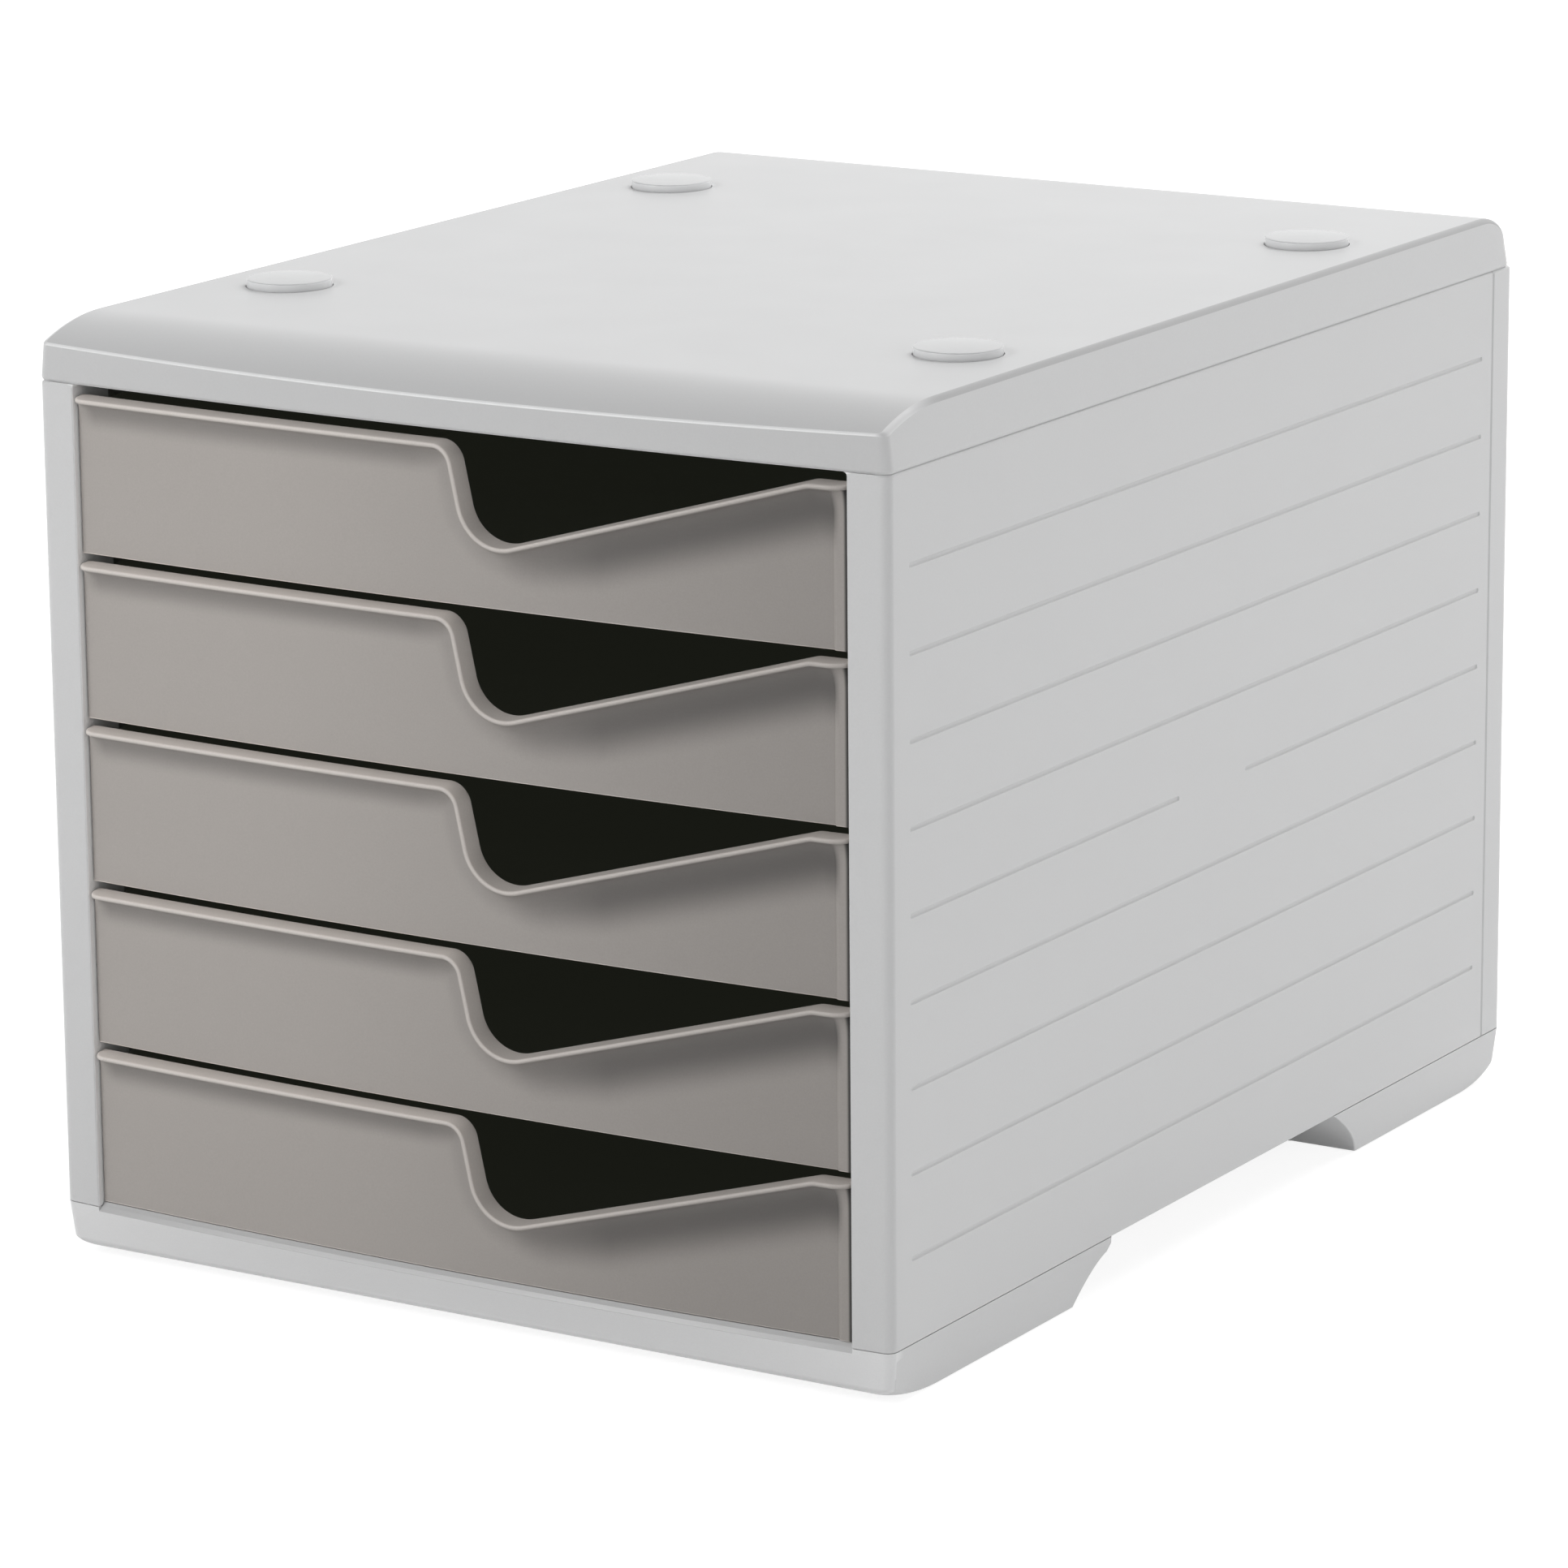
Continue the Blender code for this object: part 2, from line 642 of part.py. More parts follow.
def tray_outline(inset):
    return plan_outline(
        HALF_TRAY - inset,
        lambda x: arc_y(x) + TRAY_FRONT_OFFSET + inset,
        TRAY_REAR - inset,
        TRAY_CORNER_RADIUS - inset,
        TRAY_CORNER_RADIUS - inset,
    )


def drawer_tray(name, number, finish):
    """A tray with a low front wall behind the finger cut, and a stop lug on each side."""
    bottom = front_bottom(number) + LEDGE_THICKNESS + SEAM
    top = bottom + TRAY_HEIGHT
    front_wall_top = front_bottom(number) + FRONT_HEIGHT - CUT_DEPTH
    tray = loft(name, [at_height(tray_outline(0), z) for z in (bottom, top)], finish)
    inside = [at_height(tray_outline(TRAY_WALL), z) for z in (bottom + TRAY_WALL, top + OVERRUN)]
    combine(tray, loft(f"{name} inside", inside), "DIFFERENCE")
    step_low = (-HALF_TRAY - OVERRUN, FRONT_Y - FRONT_BOW - OVERRUN, front_wall_top)
    step_y = arc_y(HALF_TRAY) + TRAY_FRONT_OFFSET + TRAY_CORNER_RADIUS
    step_high = (HALF_TRAY + OVERRUN, step_y, top + OVERRUN)
    combine(tray, loft(f"{name} low front", box_rings(step_low, step_high)), "DIFFERENCE")
    lug_front = COLUMN_REAR + SEAM + DRAWER_TRAVEL
    lugs = bmesh.new()
    for side in (-1, 1):
        inner = side * (HALF_TRAY - LUG_OVERLAP)
        outer = side * (HALF_OPENING + COLUMN_FLANGE)
        low = (min(inner, outer), lug_front, bottom)
        high = (max(inner, outer), lug_front + LUG_LENGTH, bottom + LUG_HEIGHT)
        add_loft(lugs, box_rings(low, high))
    combine(tray, object_from(f"{name} lugs", lugs), "UNION")
    return tray


def drawer(number, front_finish, tray_finish):
    """A front and its tray, under an empty that slides along Y."""
    slide = bpy.data.objects.new(f"drawer_slide_{number}", None)
    slide.location = (0, 0, front_bottom(number))
    bpy.context.scene.collection.objects.link(slide)
    pieces = [
        drawer_front(f"drawer_front_{number}", number, front_finish),
        drawer_tray(f"drawer_tray_{number}", number, tray_finish),
    ]
    for piece in pieces:
        piece.parent = slide
        piece.matrix_parent_inverse = slide.matrix_basis.inverted()


def corner_places():
    """Where the four discs and pads sit in plan."""
    x = HALF_WIDTH - DISC_INSET_X
    return [
        (-x, FRONT_Y + DISC_FRONT_INSET),
        (x, FRONT_Y + DISC_FRONT_INSET),
        (-x, REAR_Y - DISC_REAR_INSET),
        (x, REAR_Y - DISC_REAR_INSET),
    ]


def main():
    for old in list(bpy.data.objects):
        bpy.data.objects.remove(old)
    shell_grey = material("casing grey", (0.72, 0.72, 0.72), 0.45)
    disc_clear = material("disc translucent", (0.80, 0.80, 0.80), 0.15)
    front_taupe = material("front taupe", (0.40, 0.36, 0.34), 0.50)
    tray_black = material("tray black", (0.02, 0.02, 0.02), 0.55)
    pad_grey = material("pad grey", (0.25, 0.25, 0.25), 0.80)
    places = corner_places()
    top_cover(shell_grey, places)
    base_tray(shell_grey, places)
    side_wall("left_side_wall", -1, shell_grey)
    side_wall("right_side_wall", 1, shell_grey)
    back_panel(shell_grey)
    for i, place in enumerate(places, start=1):
        stacking_disc(f"stacking_disc_{i}", place, disc_clear)
        foot_pad(f"foot_pad_{i}", place, pad_grey)
    for number in range(1, DRAWER_COUNT + 1):
        drawer(number, front_taupe, tray_black)


main()
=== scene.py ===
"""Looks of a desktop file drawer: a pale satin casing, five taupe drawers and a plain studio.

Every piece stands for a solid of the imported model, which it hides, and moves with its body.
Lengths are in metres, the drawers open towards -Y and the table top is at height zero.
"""

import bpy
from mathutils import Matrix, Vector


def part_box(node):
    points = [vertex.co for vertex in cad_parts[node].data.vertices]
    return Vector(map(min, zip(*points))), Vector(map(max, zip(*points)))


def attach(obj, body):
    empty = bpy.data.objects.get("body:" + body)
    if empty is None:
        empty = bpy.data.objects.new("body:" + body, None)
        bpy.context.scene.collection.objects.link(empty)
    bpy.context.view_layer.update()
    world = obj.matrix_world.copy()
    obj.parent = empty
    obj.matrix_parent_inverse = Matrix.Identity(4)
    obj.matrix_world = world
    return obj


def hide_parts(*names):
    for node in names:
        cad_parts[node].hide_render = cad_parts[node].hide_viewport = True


bl_info = {
    "name": "Desktop File Drawer",
    "version": (1, 0, 0),
    "blender": (4, 5, 0),
    "location": "3D View > Sidebar > File Drawer",
    "description": "Builds the finished casing, drawers and studio of a desktop file drawer",
    "category": "Object",
}

import bpy
import numpy as np
from bpy.props import FloatProperty, FloatVectorProperty, PointerProperty
from mathutils import Matrix, Vector

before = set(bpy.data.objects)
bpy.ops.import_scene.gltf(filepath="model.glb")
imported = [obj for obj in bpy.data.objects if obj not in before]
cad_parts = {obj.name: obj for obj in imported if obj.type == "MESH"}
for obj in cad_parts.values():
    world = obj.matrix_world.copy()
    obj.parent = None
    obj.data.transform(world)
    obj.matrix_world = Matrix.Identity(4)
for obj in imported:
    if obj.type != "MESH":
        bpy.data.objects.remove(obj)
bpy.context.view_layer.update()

IMAGE_SIZE = 1932

BODY = "casing"
DRAWER_COUNT = sum(name.startswith("drawer_front_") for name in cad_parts)
CORNER_COUNT = sum(name.startswith("stacking_disc_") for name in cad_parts)

COVER_LOW, COVER_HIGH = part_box("top_cover")
WALL_LOW, WALL_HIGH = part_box("right_side_wall")
BASE_LOW, BASE_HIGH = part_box("base_tray")
BACK_LOW, BACK_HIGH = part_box("back_panel")
HALF_WIDTH = WALL_HIGH.x
REAR_Y = BACK_HIGH.y

# How finely the surfaces are divided
CORNER_STEPS = 10
BOW_STEPS = 48
EDGE_STEPS = 14
FILL_STEPS = 26
TURN_STEPS = 96
QUARTER_TURN = np.radians(np.linspace(0, 90, CORNER_STEPS // 2 + 1))
FINE_QUARTER = np.radians(np.linspace(0, 90, EDGE_STEPS + 1))
HALF_TURN = np.radians(np.linspace(0, 180, CORNER_STEPS + 1))
SHARP_ANGLE = np.radians(32)


def length(name, default, description):
    """A length property in metres."""
    return FloatProperty(
        name=name, description=description, default=default, min=0, precision=5, unit="LENGTH"
    )


def share(name, default, description):
    return FloatProperty(
        name=name, description=description, default=default, min=0, max=1, subtype="FACTOR"
    )


def finish_colour(name, default, description):
    return FloatVectorProperty(
        name=name, description=description, default=default, min=0, max=1, subtype="COLOR"
    )


def angle(name, degrees, description):
    return FloatProperty(
        name=name, description=description, default=np.radians(degrees), subtype="ANGLE"
    )


def strength(name, default, description):
    return FloatProperty(name=name, description=description, default=default, min=0)


def power(name, default, description):
    return FloatProperty(
        name=name, description=description, default=default, min=0, unit="POWER"
    )


class CasingSizes(bpy.types.PropertyGroup):
    depth: length("Depth", 0.375, "Front corner to rear face")
    bow: length("Front bow", 0.0045, "How far the middle of the front stands ahead of its corners")
    wall: length("Wall", 0.0025, "Thickness of the moulded walls")
    front_round: length("Front corner", 0.0030, "Radius of the upright front corners")
    rear_round: length("Rear corner", 0.0045, "Radius of the upright rear corners")
    notch: length("Seam notch", 0.0005, "Depth of the small chamfer along a seam")
    column: length("Column width", 0.0125, "Width of the column beside the drawers")
    column_depth: length("Column depth", 0.0160, "Depth of the column beside the drawers")
    column_face: length("Column face", 0.0030, "Thickness of the column's front face")
    column_round: length("Column edge", 0.0005, "Radius of the column's edge at the opening")
    opening_round: length("Opening corner", 0.0010, "Radius of the opening's upper corners")
    back_wrap: length("Back wrap", 0.0148, "How far the back panel reaches round each side")
    tongue: length("Tongue", 0.0060, "How far a side wall reaches behind the back panel")
    line_width: length("Line width", 0.0014, "Width of a pressed line")
    line_depth: length("Line depth", 0.0005, "Depth of a pressed line")
    line_front: length("Line front margin", 0.0105, "Front corner to the pressed lines")
    line_rear: length("Line rear margin", 0.0217, "Rear face to the pressed lines")
    blank_start: length("Blank start", 0.1612, "Front corner to the gap in the middle line")
    blank: length("Blank", 0.0400, "Length of the gap in the middle line")
    ledge: length("Ledge", 0.0020, "Thickness of a drawer ledge")
    ledge_reach: length("Ledge reach", 0.0080, "How far a ledge reaches under a tray")
    stop_height: length("End stop", 0.0060, "Height of the stop that a closed tray meets")
    stop_thickness: length("End stop thickness", 0.0025, "Thickness of that stop")


class CoverSizes(bpy.types.PropertyGroup):
    draft: length("Draft", 0.0010, "How far each side leans in towards its upper edge")
    side_edge: length("Side edge", 0.0016, "Radius of the long upper edges")
    front_edge: length("Front edge", 0.0005, "Radius of the crisp edge over the front face")
    nose_run: length("Nose run", 0.0270, "Length of the slope towards the front")
    nose_drop: length("Nose drop", 0.0058, "Height that the slope loses at the front corners")
    rear_run: length("Rear run", 0.0170, "Length of the rear rounding")
    rear_drop: length("Rear drop", 0.0140, "Height of the rear rounding")
    rear_inset: length("Rear inset", 0.0028, "Rear face of the casing to the rounding's foot")
    rear_lean: length("Rear lean", 0.0008, "How far the rear face leans in")
    fill_inset: length("Flat inset", 0.0300, "Inset of the middle field, which is flat")
    seat_depth: length("Seat depth", 0.0006, "Depth of the seat under each disc")


class BaseSizes(bpy.types.PropertyGroup):
    stand_off: length("Pad stand-off", 0.0005, "Height of the underside over the table")
    taper: length("Taper", 0.0015, "How far each side of a foot leans in towards the table")
    front_foot: length("Front foot", 0.1225, "Length of the front foot")
    rear_foot: length("Rear foot", 0.1150, "Length of the rear foot")
    front_arch: length("Front arch", 0.0200, "Run of the arch's curve at the front foot")
    rear_arch: length("Rear arch", 0.0170, "Run of the arch's curve at the rear foot")
    roll_run: length("Roll run", 0.0165, "Length of the rolled underside")
    roll_rise: length("Roll rise", 0.0050, "Height of the rolled underside")
    front_lean: length("Front lean", 0.0010, "How far the front face leans in")
    rear_lean: length("Rear lean", 0.0015, "How far the rear face leans in")
    corner: length("Underside corner", 0.0090, "Corner radius at the underside")
    plate_inset: length("Floor plate inset", 0.0100, "Side of the casing to the plate of the arch")
    sill_height: length("Sill height", 0.0011, "How far the sill stands up under the lowest drawer")
    bevel: length("Bevel", 0.0012, "Width of the bevel between the columns")


class FrontSizes(bpy.types.PropertyGroup):
    setback: length("Face setback", 0.0022, "Column face to the plain face of a drawer")
    thickness: length("Thickness", 0.0025, "Thickness of a drawer front")
    reach: length("Lip reach", 0.0022, "How far the lip stands ahead of the column face")
    drop: length("Lip drop", 0.0010, "How far the lip's nose lies below its rear edge")
    nose: length("Nose radius", 0.0007, "Radius of the lip's nose")
    scoop: length("Scoop height", 0.0070, "Height of the hollow under the lip")
    end_round: length("Lip end", 0.0045, "Radius of each end of the lip, seen from above")
    rim: length("Rim width", 0.0046, "Width of the raised rim along the right side")
    rim_rise: length("Rim rise", 0.0008, "How far a rim stands out")
    rim_slope: length("Rim slope", 0.0009, "Width of the slope from a rim to the face")
    edge_round: length("Edge radius", 0.0006, "Radius of the right edge")
    left_round: length("Left edge radius", 0.00015, "Radius of the left edge")
    left_reach: length("Left reach", 0.00015, "How far the left edge reaches towards the column")
    low_round: length("Lower edge radius", 0.0004, "Radius of the lower edge")
    cut_left: length("Cut start", 0.0042, "Middle of the front to the finger cut")
    cut_corner: length("Cut corner", 0.0109, "Middle of the front to the lowest corner of the cut")
    cut_depth: length("Cut depth", 0.0304, "Depth of that corner")
    cut_margin: length("Cut margin", 0.0101, "Right end of the front to the end of the cut")
    cut_top: length("Upper bend", 0.0065, "Radius of the bend into the cut")
    cut_bottom: length("Lower bend", 0.0130, "Radius of the bend at the bottom of the cut")
    cut_end: length("End bend", 0.0080, "Radius of the bend at the right end of the cut")


class TraySizes(bpy.types.PropertyGroup):
    half_width: length("Half width", 0.1259, "Middle of a tray to the outside of its side wall")
    wall: length("Wall", 0.0018, "Thickness of a tray's walls")
    corner: length("Corner", 0.0040, "Radius of a tray's corners in plan")
    foot_round: length("Foot radius", 0.0012, "Radius along a tray's lower edge")
    rim_round: length("Rim radius", 0.0006, "Radius along a tray's upper edge")
    step_run: length("Step run", 0.0050, "Length of the step from the low front wall to a side")
    lug_overlap: length("Lug overlap", 0.0009, "How far a stop lug reaches into the tray's wall")
    lug_front: length("Lug place", 0.2563, "Front corner line of the casing to a stop lug")
    lug_length: length("Lug length", 0.0120, "Length of a stop lug")
    lug_height: length("Lug height", 0.0080, "Height of a stop lug")


class RoundSizes(bpy.types.PropertyGroup):
    disc_wall: length("Disc wall", 0.0023, "Height of a disc's upright wall over the cover")
    disc_edge: length("Disc edge", 0.0004, "Radius of a disc's upper edge")
    pad_edge: length("Pad edge", 0.0003, "Radius of a pad's lower edge")
    clearance: length("Seat clearance", 0.0003, "Gap round a disc in its seat")


class FinishColours(bpy.types.PropertyGroup):
    casing: finish_colour("Casing", (0.640, 0.642, 0.645), "Pale grey of the casing")
    front: finish_colour("Drawer front", (0.355, 0.330, 0.310), "Warm grey of the drawer fronts")
    tray: finish_colour("Tray", (0.035, 0.036, 0.030), "Near black of the trays")
    disc: finish_colour("Disc", (0.680, 0.685, 0.690), "Tint of the clear discs")
    pad: finish_colour("Pad", (0.060, 0.060, 0.062), "Dark grey of the foot pads")
    casing_roughness: share("Casing roughness", 0.34, "Satin sheen of the casing")
    front_roughness: share("Front roughness", 0.50, "Satin sheen of the drawer fronts")
    tray_roughness: share("Tray roughness", 0.55, "Dull sheen of the trays")
    disc_roughness: share("Disc roughness", 0.16, "Gloss of the discs")
    pad_roughness: share("Pad roughness", 0.80, "Matt rubber of the foot pads")
    disc_clearness: share("Disc clearness", 0.12, "How much light passes through the discs")
    # Painted light falloff: fronts are painted lighter at their left end and darker at their right
    # end
    front_light_falloff: share("Front fade", 0.16, "How much deeper a front's colour is at its right end")


class StudioSettings(bpy.types.PropertyGroup):
    azimuth: angle("Azimuth", 31.772, "Camera's turn round the object")
    elevation: angle("Elevation", 13.977, "Camera's height over the horizon")
    roll: angle("Roll", -0.484, "Camera's tilt")
    distance: length("Distance", 2.0855, "Camera to the object's middle")
    aim_height: length("Aim height", 0.1284, "Height that the camera aims at")
    aim_left: length("Aim left", 0.00764, "Sideways move of the camera")
    aim_down: length("Aim down", 0.01034, "Downward move of the camera")
    focal_pixels: FloatProperty(
        name="Focal length", description="Focal length in pixels of the photograph",
        default=8586, subtype="PIXEL",
    )
    horizon: strength("Horizon", 0.86, "Light from all round, near the horizon")
    zenith: strength("Zenith", 0.12, "Light from all round, overhead")
    gloss_zenith: strength("Gloss overhead", 0.30, "What a gloss shows overhead")
    front: power("Front", 16.0, "Soft lamp high at the left of the front")
    side: power("Side", 5.0, "Soft lamp at the right side")
    rear: power("Rear", 41.0, "Large lamp over the rear")
    floor_radius: length("Floor", 6.0, "Half the width of the floor")


# Meshes


def quad_faces(rows, count):
    """Corner numbers of the quads that join closed rings, each to the next, point by point."""
    start = np.arange(rows - 1)[:, None] * count
    here = np.arange(count)
    after = np.roll(here, -1)
    return np.stack(
        (start + here, start + after, start + count + after, start + count + here), axis=-1
    ).reshape(-1, 4)


def volume_sign(rings):
    """Sign of the volume inside the rings: the sum of the triangles' triple products."""
    middle = rings.reshape(-1, 3).mean(0)
    a, b, c, d = np.moveaxis(rings.reshape(-1, 3)[quad_faces(*rings.shape[:2])] - middle, 1, 0)
    total = np.einsum("ij,ij->", a, np.cross(b, c)) + np.einsum("ij,ij->", a, np.cross(c, d))
    for ring, way in ((rings[0] - middle, -1), (rings[-1] - middle, 1)):
        fan = np.cross(ring, np.roll(ring, -1, axis=0))
        total += way * np.einsum("i,ji->", ring.mean(0), fan)
    return np.sign(total)


def mesh_of(name, shells, marks=None):
    """One mesh from closed shells, each an array of rings (rows, points, 3) with filled ends.

    A mark is a share by which the finish is painted lighter or darker at a point: painted light and
    shade. There is one array or number for each shell, and plain shells have none.
    """
    places = []
    shades = []
    faces = []
    offset = 0
    for rings, mark in zip(shells, marks or [0] * len(shells)):
        rings = np.asarray(rings, float)
        mark = np.broadcast_to(mark, rings.shape[:2])
        if volume_sign(rings) < 0:
            rings = rings[::-1]
            mark = mark[::-1]
        rows, count = rings.shape[:2]
        faces += (quad_faces(rows, count) + offset).tolist()
        faces.append((np.arange(count)[::-1] + offset).tolist())
        faces.append((np.arange(count) + offset + (rows - 1) * count).tolist())
        places.append(rings.reshape(-1, 3))
        shades.append(mark.ravel())
        offset += rows * count
    mesh = bpy.data.meshes.new(name)
    mesh.from_pydata(np.concatenate(places).tolist(), [], faces)
    layer = mesh.attributes.new("mark", "FLOAT", "POINT")
    layer.data.foreach_set("value", np.concatenate(shades).astype(np.float32))
    mesh.validate()
    return mesh


def add_piece(context, name, mesh, finish, node, body=BODY):
    """Shows a mesh in place of a solid: smooth, with crisp edges kept, and riding on its body."""
    piece = bpy.data.objects.new(name, mesh)
    context.scene.collection.objects.link(piece)
    mesh.shade_smooth()
    mesh.set_sharp_from_angle(angle=SHARP_ANGLE)
    mesh.materials.append(finish_named(context, finish))
    normals = piece.modifiers.new("even shading", "WEIGHTED_NORMAL")
    normals.keep_sharp = True
    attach(piece, body)
    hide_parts(node)


def arc(centre, radius, start, end, steps=CORNER_STEPS):
    """A round corner: its centre plus the radius times cosine and sine of evenly spaced angles."""
    turn = np.radians(np.linspace(start, end, steps + 1))
    return np.column_stack((centre[0] + radius * np.cos(turn), centre[1] + radius * np.sin(turn)))


def eased(count, power=2.0):
    """Shares between 0 and 1, both left out, that crowd towards both ends."""
    t = np.linspace(-1, 1, count + 2)[1:-1]
    return (1 + np.sign(t) * (1 - (1 - np.abs(t)) ** power)) / 2


def plan_outline(half_width, front, rear, front_radius, rear_radius, sides, breaks=()):
    """A rounded rectangle in plan, anticlockwise from its left front corner.

    Its front edge follows the function front(x), with points at the breaks, and sides are
    shares along each long side.
    """
    edge = half_width - front_radius
    corner_y = front(edge) + front_radius
    rear_edge = half_width - rear_radius
    rear_y = rear - rear_radius
    x = np.sort(np.concatenate((np.linspace(-edge, edge, BOW_STEPS + 1)[1:-1], breaks)))
    y = corner_y + (rear_y - corner_y) * sides
    across = np.full_like(y, half_width)
    rear_x = np.linspace(rear_edge, -rear_edge, BOW_STEPS // 2 + 1)[1:-1]
    return np.concatenate((
        arc((-edge, corner_y), front_radius, 180, 270),
        np.column_stack((x, front(x))),
        arc((edge, corner_y), front_radius, 270, 360),
        np.column_stack((across, y)),
        arc((rear_edge, rear_y), rear_radius, 0, 90),
        np.column_stack((rear_x, np.full_like(rear_x, rear))),
        arc((-rear_edge, rear_y), rear_radius, 90, 180),
        np.column_stack((-across, y[::-1])),
    ))


def outward(outline):
    """Unit normals of an anticlockwise outline: the chord past each point, turned outwards."""
    chord = np.roll(outline, -1, axis=0) - np.roll(outline, 1, axis=0)
    normal = np.column_stack((chord[:, 1], -chord[:, 0]))
    return normal / np.linalg.norm(normal, axis=1, keepdims=True)


def raised(outline, z):
    """The outline at a height, which may differ from point to point."""
    return np.column_stack((outline, np.broadcast_to(z, len(outline))))


def front_line(case):
    """y of the front corners."""
    return REAR_Y - case.depth


def bow_y(case, x):
    """The bowed front in plan: a parabola that stands out most in the middle."""
    return front_line(case) - case.bow * (1 - (x / HALF_WIDTH) ** 2)


# Cover


def cover_height(case, cover, y):
    """Height of the cover's top along Y.

    Ahead of the nose's start it falls with the square of the distance, and the rear follows
    a superellipse, which is flatter on top and steeper at its foot than a circle.
    """
    ahead = np.maximum(front_line(case) + cover.nose_run - y, 0) / cover.nose_run
    foot = REAR_Y - cover.rear_inset
    along = np.clip((y - foot + cover.rear_run) / cover.rear_run, 0, 1)
    rear = 1 - (1 - along**REAR_POWER) ** (1 / REAR_POWER)
    return COVER_HIGH_Z - cover.nose_drop * ahead**2 - cover.rear_drop * rear


REAR_POWER = 2.15
SEAM_TOUCH = 0.0001
SIDE_SHARES = eased(70, 2.6)
COVER_HIGH_Z = COVER_HIGH.z


def cover_plan(case, draft, rear_inset):
    """The cover in plan: the casing's bowed rectangle, drawn in by its draft and at the rear."""
    return plan_outline(
        HALF_WIDTH - draft,
        lambda x: bow_y(case, x),
        REAR_Y - rear_inset,
        case.front_round,
        case.rear_round,
        SIDE_SHARES,
    )


def cover_rings(case, cover):
    """Rings from the ceiling out over the lower edge, up the sides and in to the flat top.

    Round the upper edge a ring's inset follows one minus cosine, and its fall one minus sine.
    At the rear each ring ends where the rounding's superellipse has the same share.
    """
    lower = cover_plan(case, 0, cover.rear_inset - cover.rear_lean)
    upper = cover_plan(case, cover.draft, cover.rear_inset)
    normal = outward(upper)
    sideways = normal[:, 0] ** 2
    ahead = np.where(normal[:, 1] < 0, normal[:, 1] ** 2, 0)
    radius = cover.side_edge * sideways + cover.front_edge * ahead
    ceiling = COVER_HIGH_Z - case.wall
    middle = plan_outline(
        HALF_WIDTH - cover.fill_inset,
        lambda x: front_line(case) + cover.fill_inset + 0 * x,
        REAR_Y - cover.fill_inset,
        case.front_round * 2,
        case.rear_round * 2,
        SIDE_SHARES,
    )
    inside = lower - outward(lower) * case.wall
    rings = [raised(middle, ceiling)]
    for fill in np.linspace(0, 1, FILL_STEPS // 2 + 1)[1:]:
        ring = middle + (inside - middle) * fill
        height = np.minimum(cover_height(case, cover, ring[:, 1]) - case.wall, ceiling)
        rings.append(raised(ring, np.maximum(height, COVER_LOW.z + case.wall)))
    tongue_z = WALL_HIGH.z + SEAM_TOUCH
    rings.append(raised(inside, tongue_z))
    rings.append(raised(lower - outward(lower) * case.notch, tongue_z))
    notch_rise = 2 * case.notch
    for turn in QUARTER_TURN:
        ring = lower - outward(lower) * case.notch * (1 - np.sin(turn))
        rings.append(raised(ring, COVER_LOW.z + notch_rise * (1 - np.cos(turn))))
    edge_start = len(rings)
    foot = REAR_Y - cover.rear_inset
    for turn in FINE_QUARTER:
        side_inset = cover.side_edge * (1 - np.cos(turn))
        front_inset = cover.front_edge * (1 - np.cos(turn))
        ring = plan_outline(
            HALF_WIDTH - cover.draft - side_inset,
            lambda x: bow_y(case, x) + front_inset,
            foot - cover.rear_run * (1 - np.cos(turn) ** (2 / REAR_POWER)),
            case.front_round - side_inset,
            case.rear_round - side_inset,
            SIDE_SHARES,
        )
        fall = radius * (1 - np.sin(turn))
        rings.append(raised(ring, cover_height(case, cover, ring[:, 1]) - fall))
    edge_end = len(rings)
    edge = rings[-1][:, :2]
    for fill in np.linspace(0, 1, FILL_STEPS + 1)[1:] ** FILL_EASE:
        ring = edge + (middle - edge) * fill
        rings.append(raised(ring, cover_height(case, cover, ring[:, 1])))
    rings = np.array(rings)
    # Painted light and shade on the cover: its front face and the nose's slope are painted darker,
    # the long upper edges a darker band of painted shade that turns into a painted highlight near
    # the nose, and the front edge a painted highlight line.
    nose = np.clip((front_line(case) + cover.nose_run - rings[..., 1]) / cover.nose_run, 0, 1)
    marks = np.zeros(nose.shape)
    marks[edge_start - len(QUARTER_TURN) : edge_start + 1] = PAINTED_COVER_FRONT_SHADE * ahead**4
    edge_rows = slice(edge_start + 1, edge_end)
    band = PAINTED_EDGE_BAND_SHADE + (PAINTED_EDGE_NOSE_HIGHLIGHT - PAINTED_EDGE_BAND_SHADE) * np.minimum(2 * nose[edge_rows], 1)
    marks[edge_rows] = band * sideways**4 + PAINTED_FRONT_EDGE_HIGHLIGHT * ahead**4
    marks[edge_end:] = PAINTED_NOSE_SHADE * nose[edge_end:]
    return rings, marks


FILL_EASE = 1.5
# Shares of painted shade and painted highlight on the cover
PAINTED_COVER_FRONT_SHADE = -0.10
PAINTED_EDGE_BAND_SHADE = -0.26
PAINTED_EDGE_NOSE_HIGHLIGHT = 0.20
PAINTED_FRONT_EDGE_HIGHLIGHT = 0.30
PAINTED_NOSE_SHADE = -0.11


def disc_seats(cover, rounds):
    """Round cutters for the seats, each a little wider than its disc."""
    shells = []
    for number in range(1, CORNER_COUNT + 1):
        low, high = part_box(f"stacking_disc_{number}")
        radius = (high.x - low.x) / 2 + rounds.clearance
        heights = (COVER_HIGH_Z - cover.seat_depth, COVER_HIGH_Z + cover.seat_depth)
        shells.append(turned((low + high) / 2, np.array([(radius, z) for z in heights])))
    return shells


def turned(centre, profile):
    """Rings about an upright axis, one for each (radius, height) of the profile."""
    turn = np.linspace(0, 2 * np.pi, TURN_STEPS, endpoint=False)
    x = centre.x + profile[:, :1] * np.cos(turn)
    y = centre.y + profile[:, :1] * np.sin(turn)
    z = np.repeat(profile[:, 1:], TURN_STEPS, axis=1)
    return np.stack((x, y, z), axis=-1)


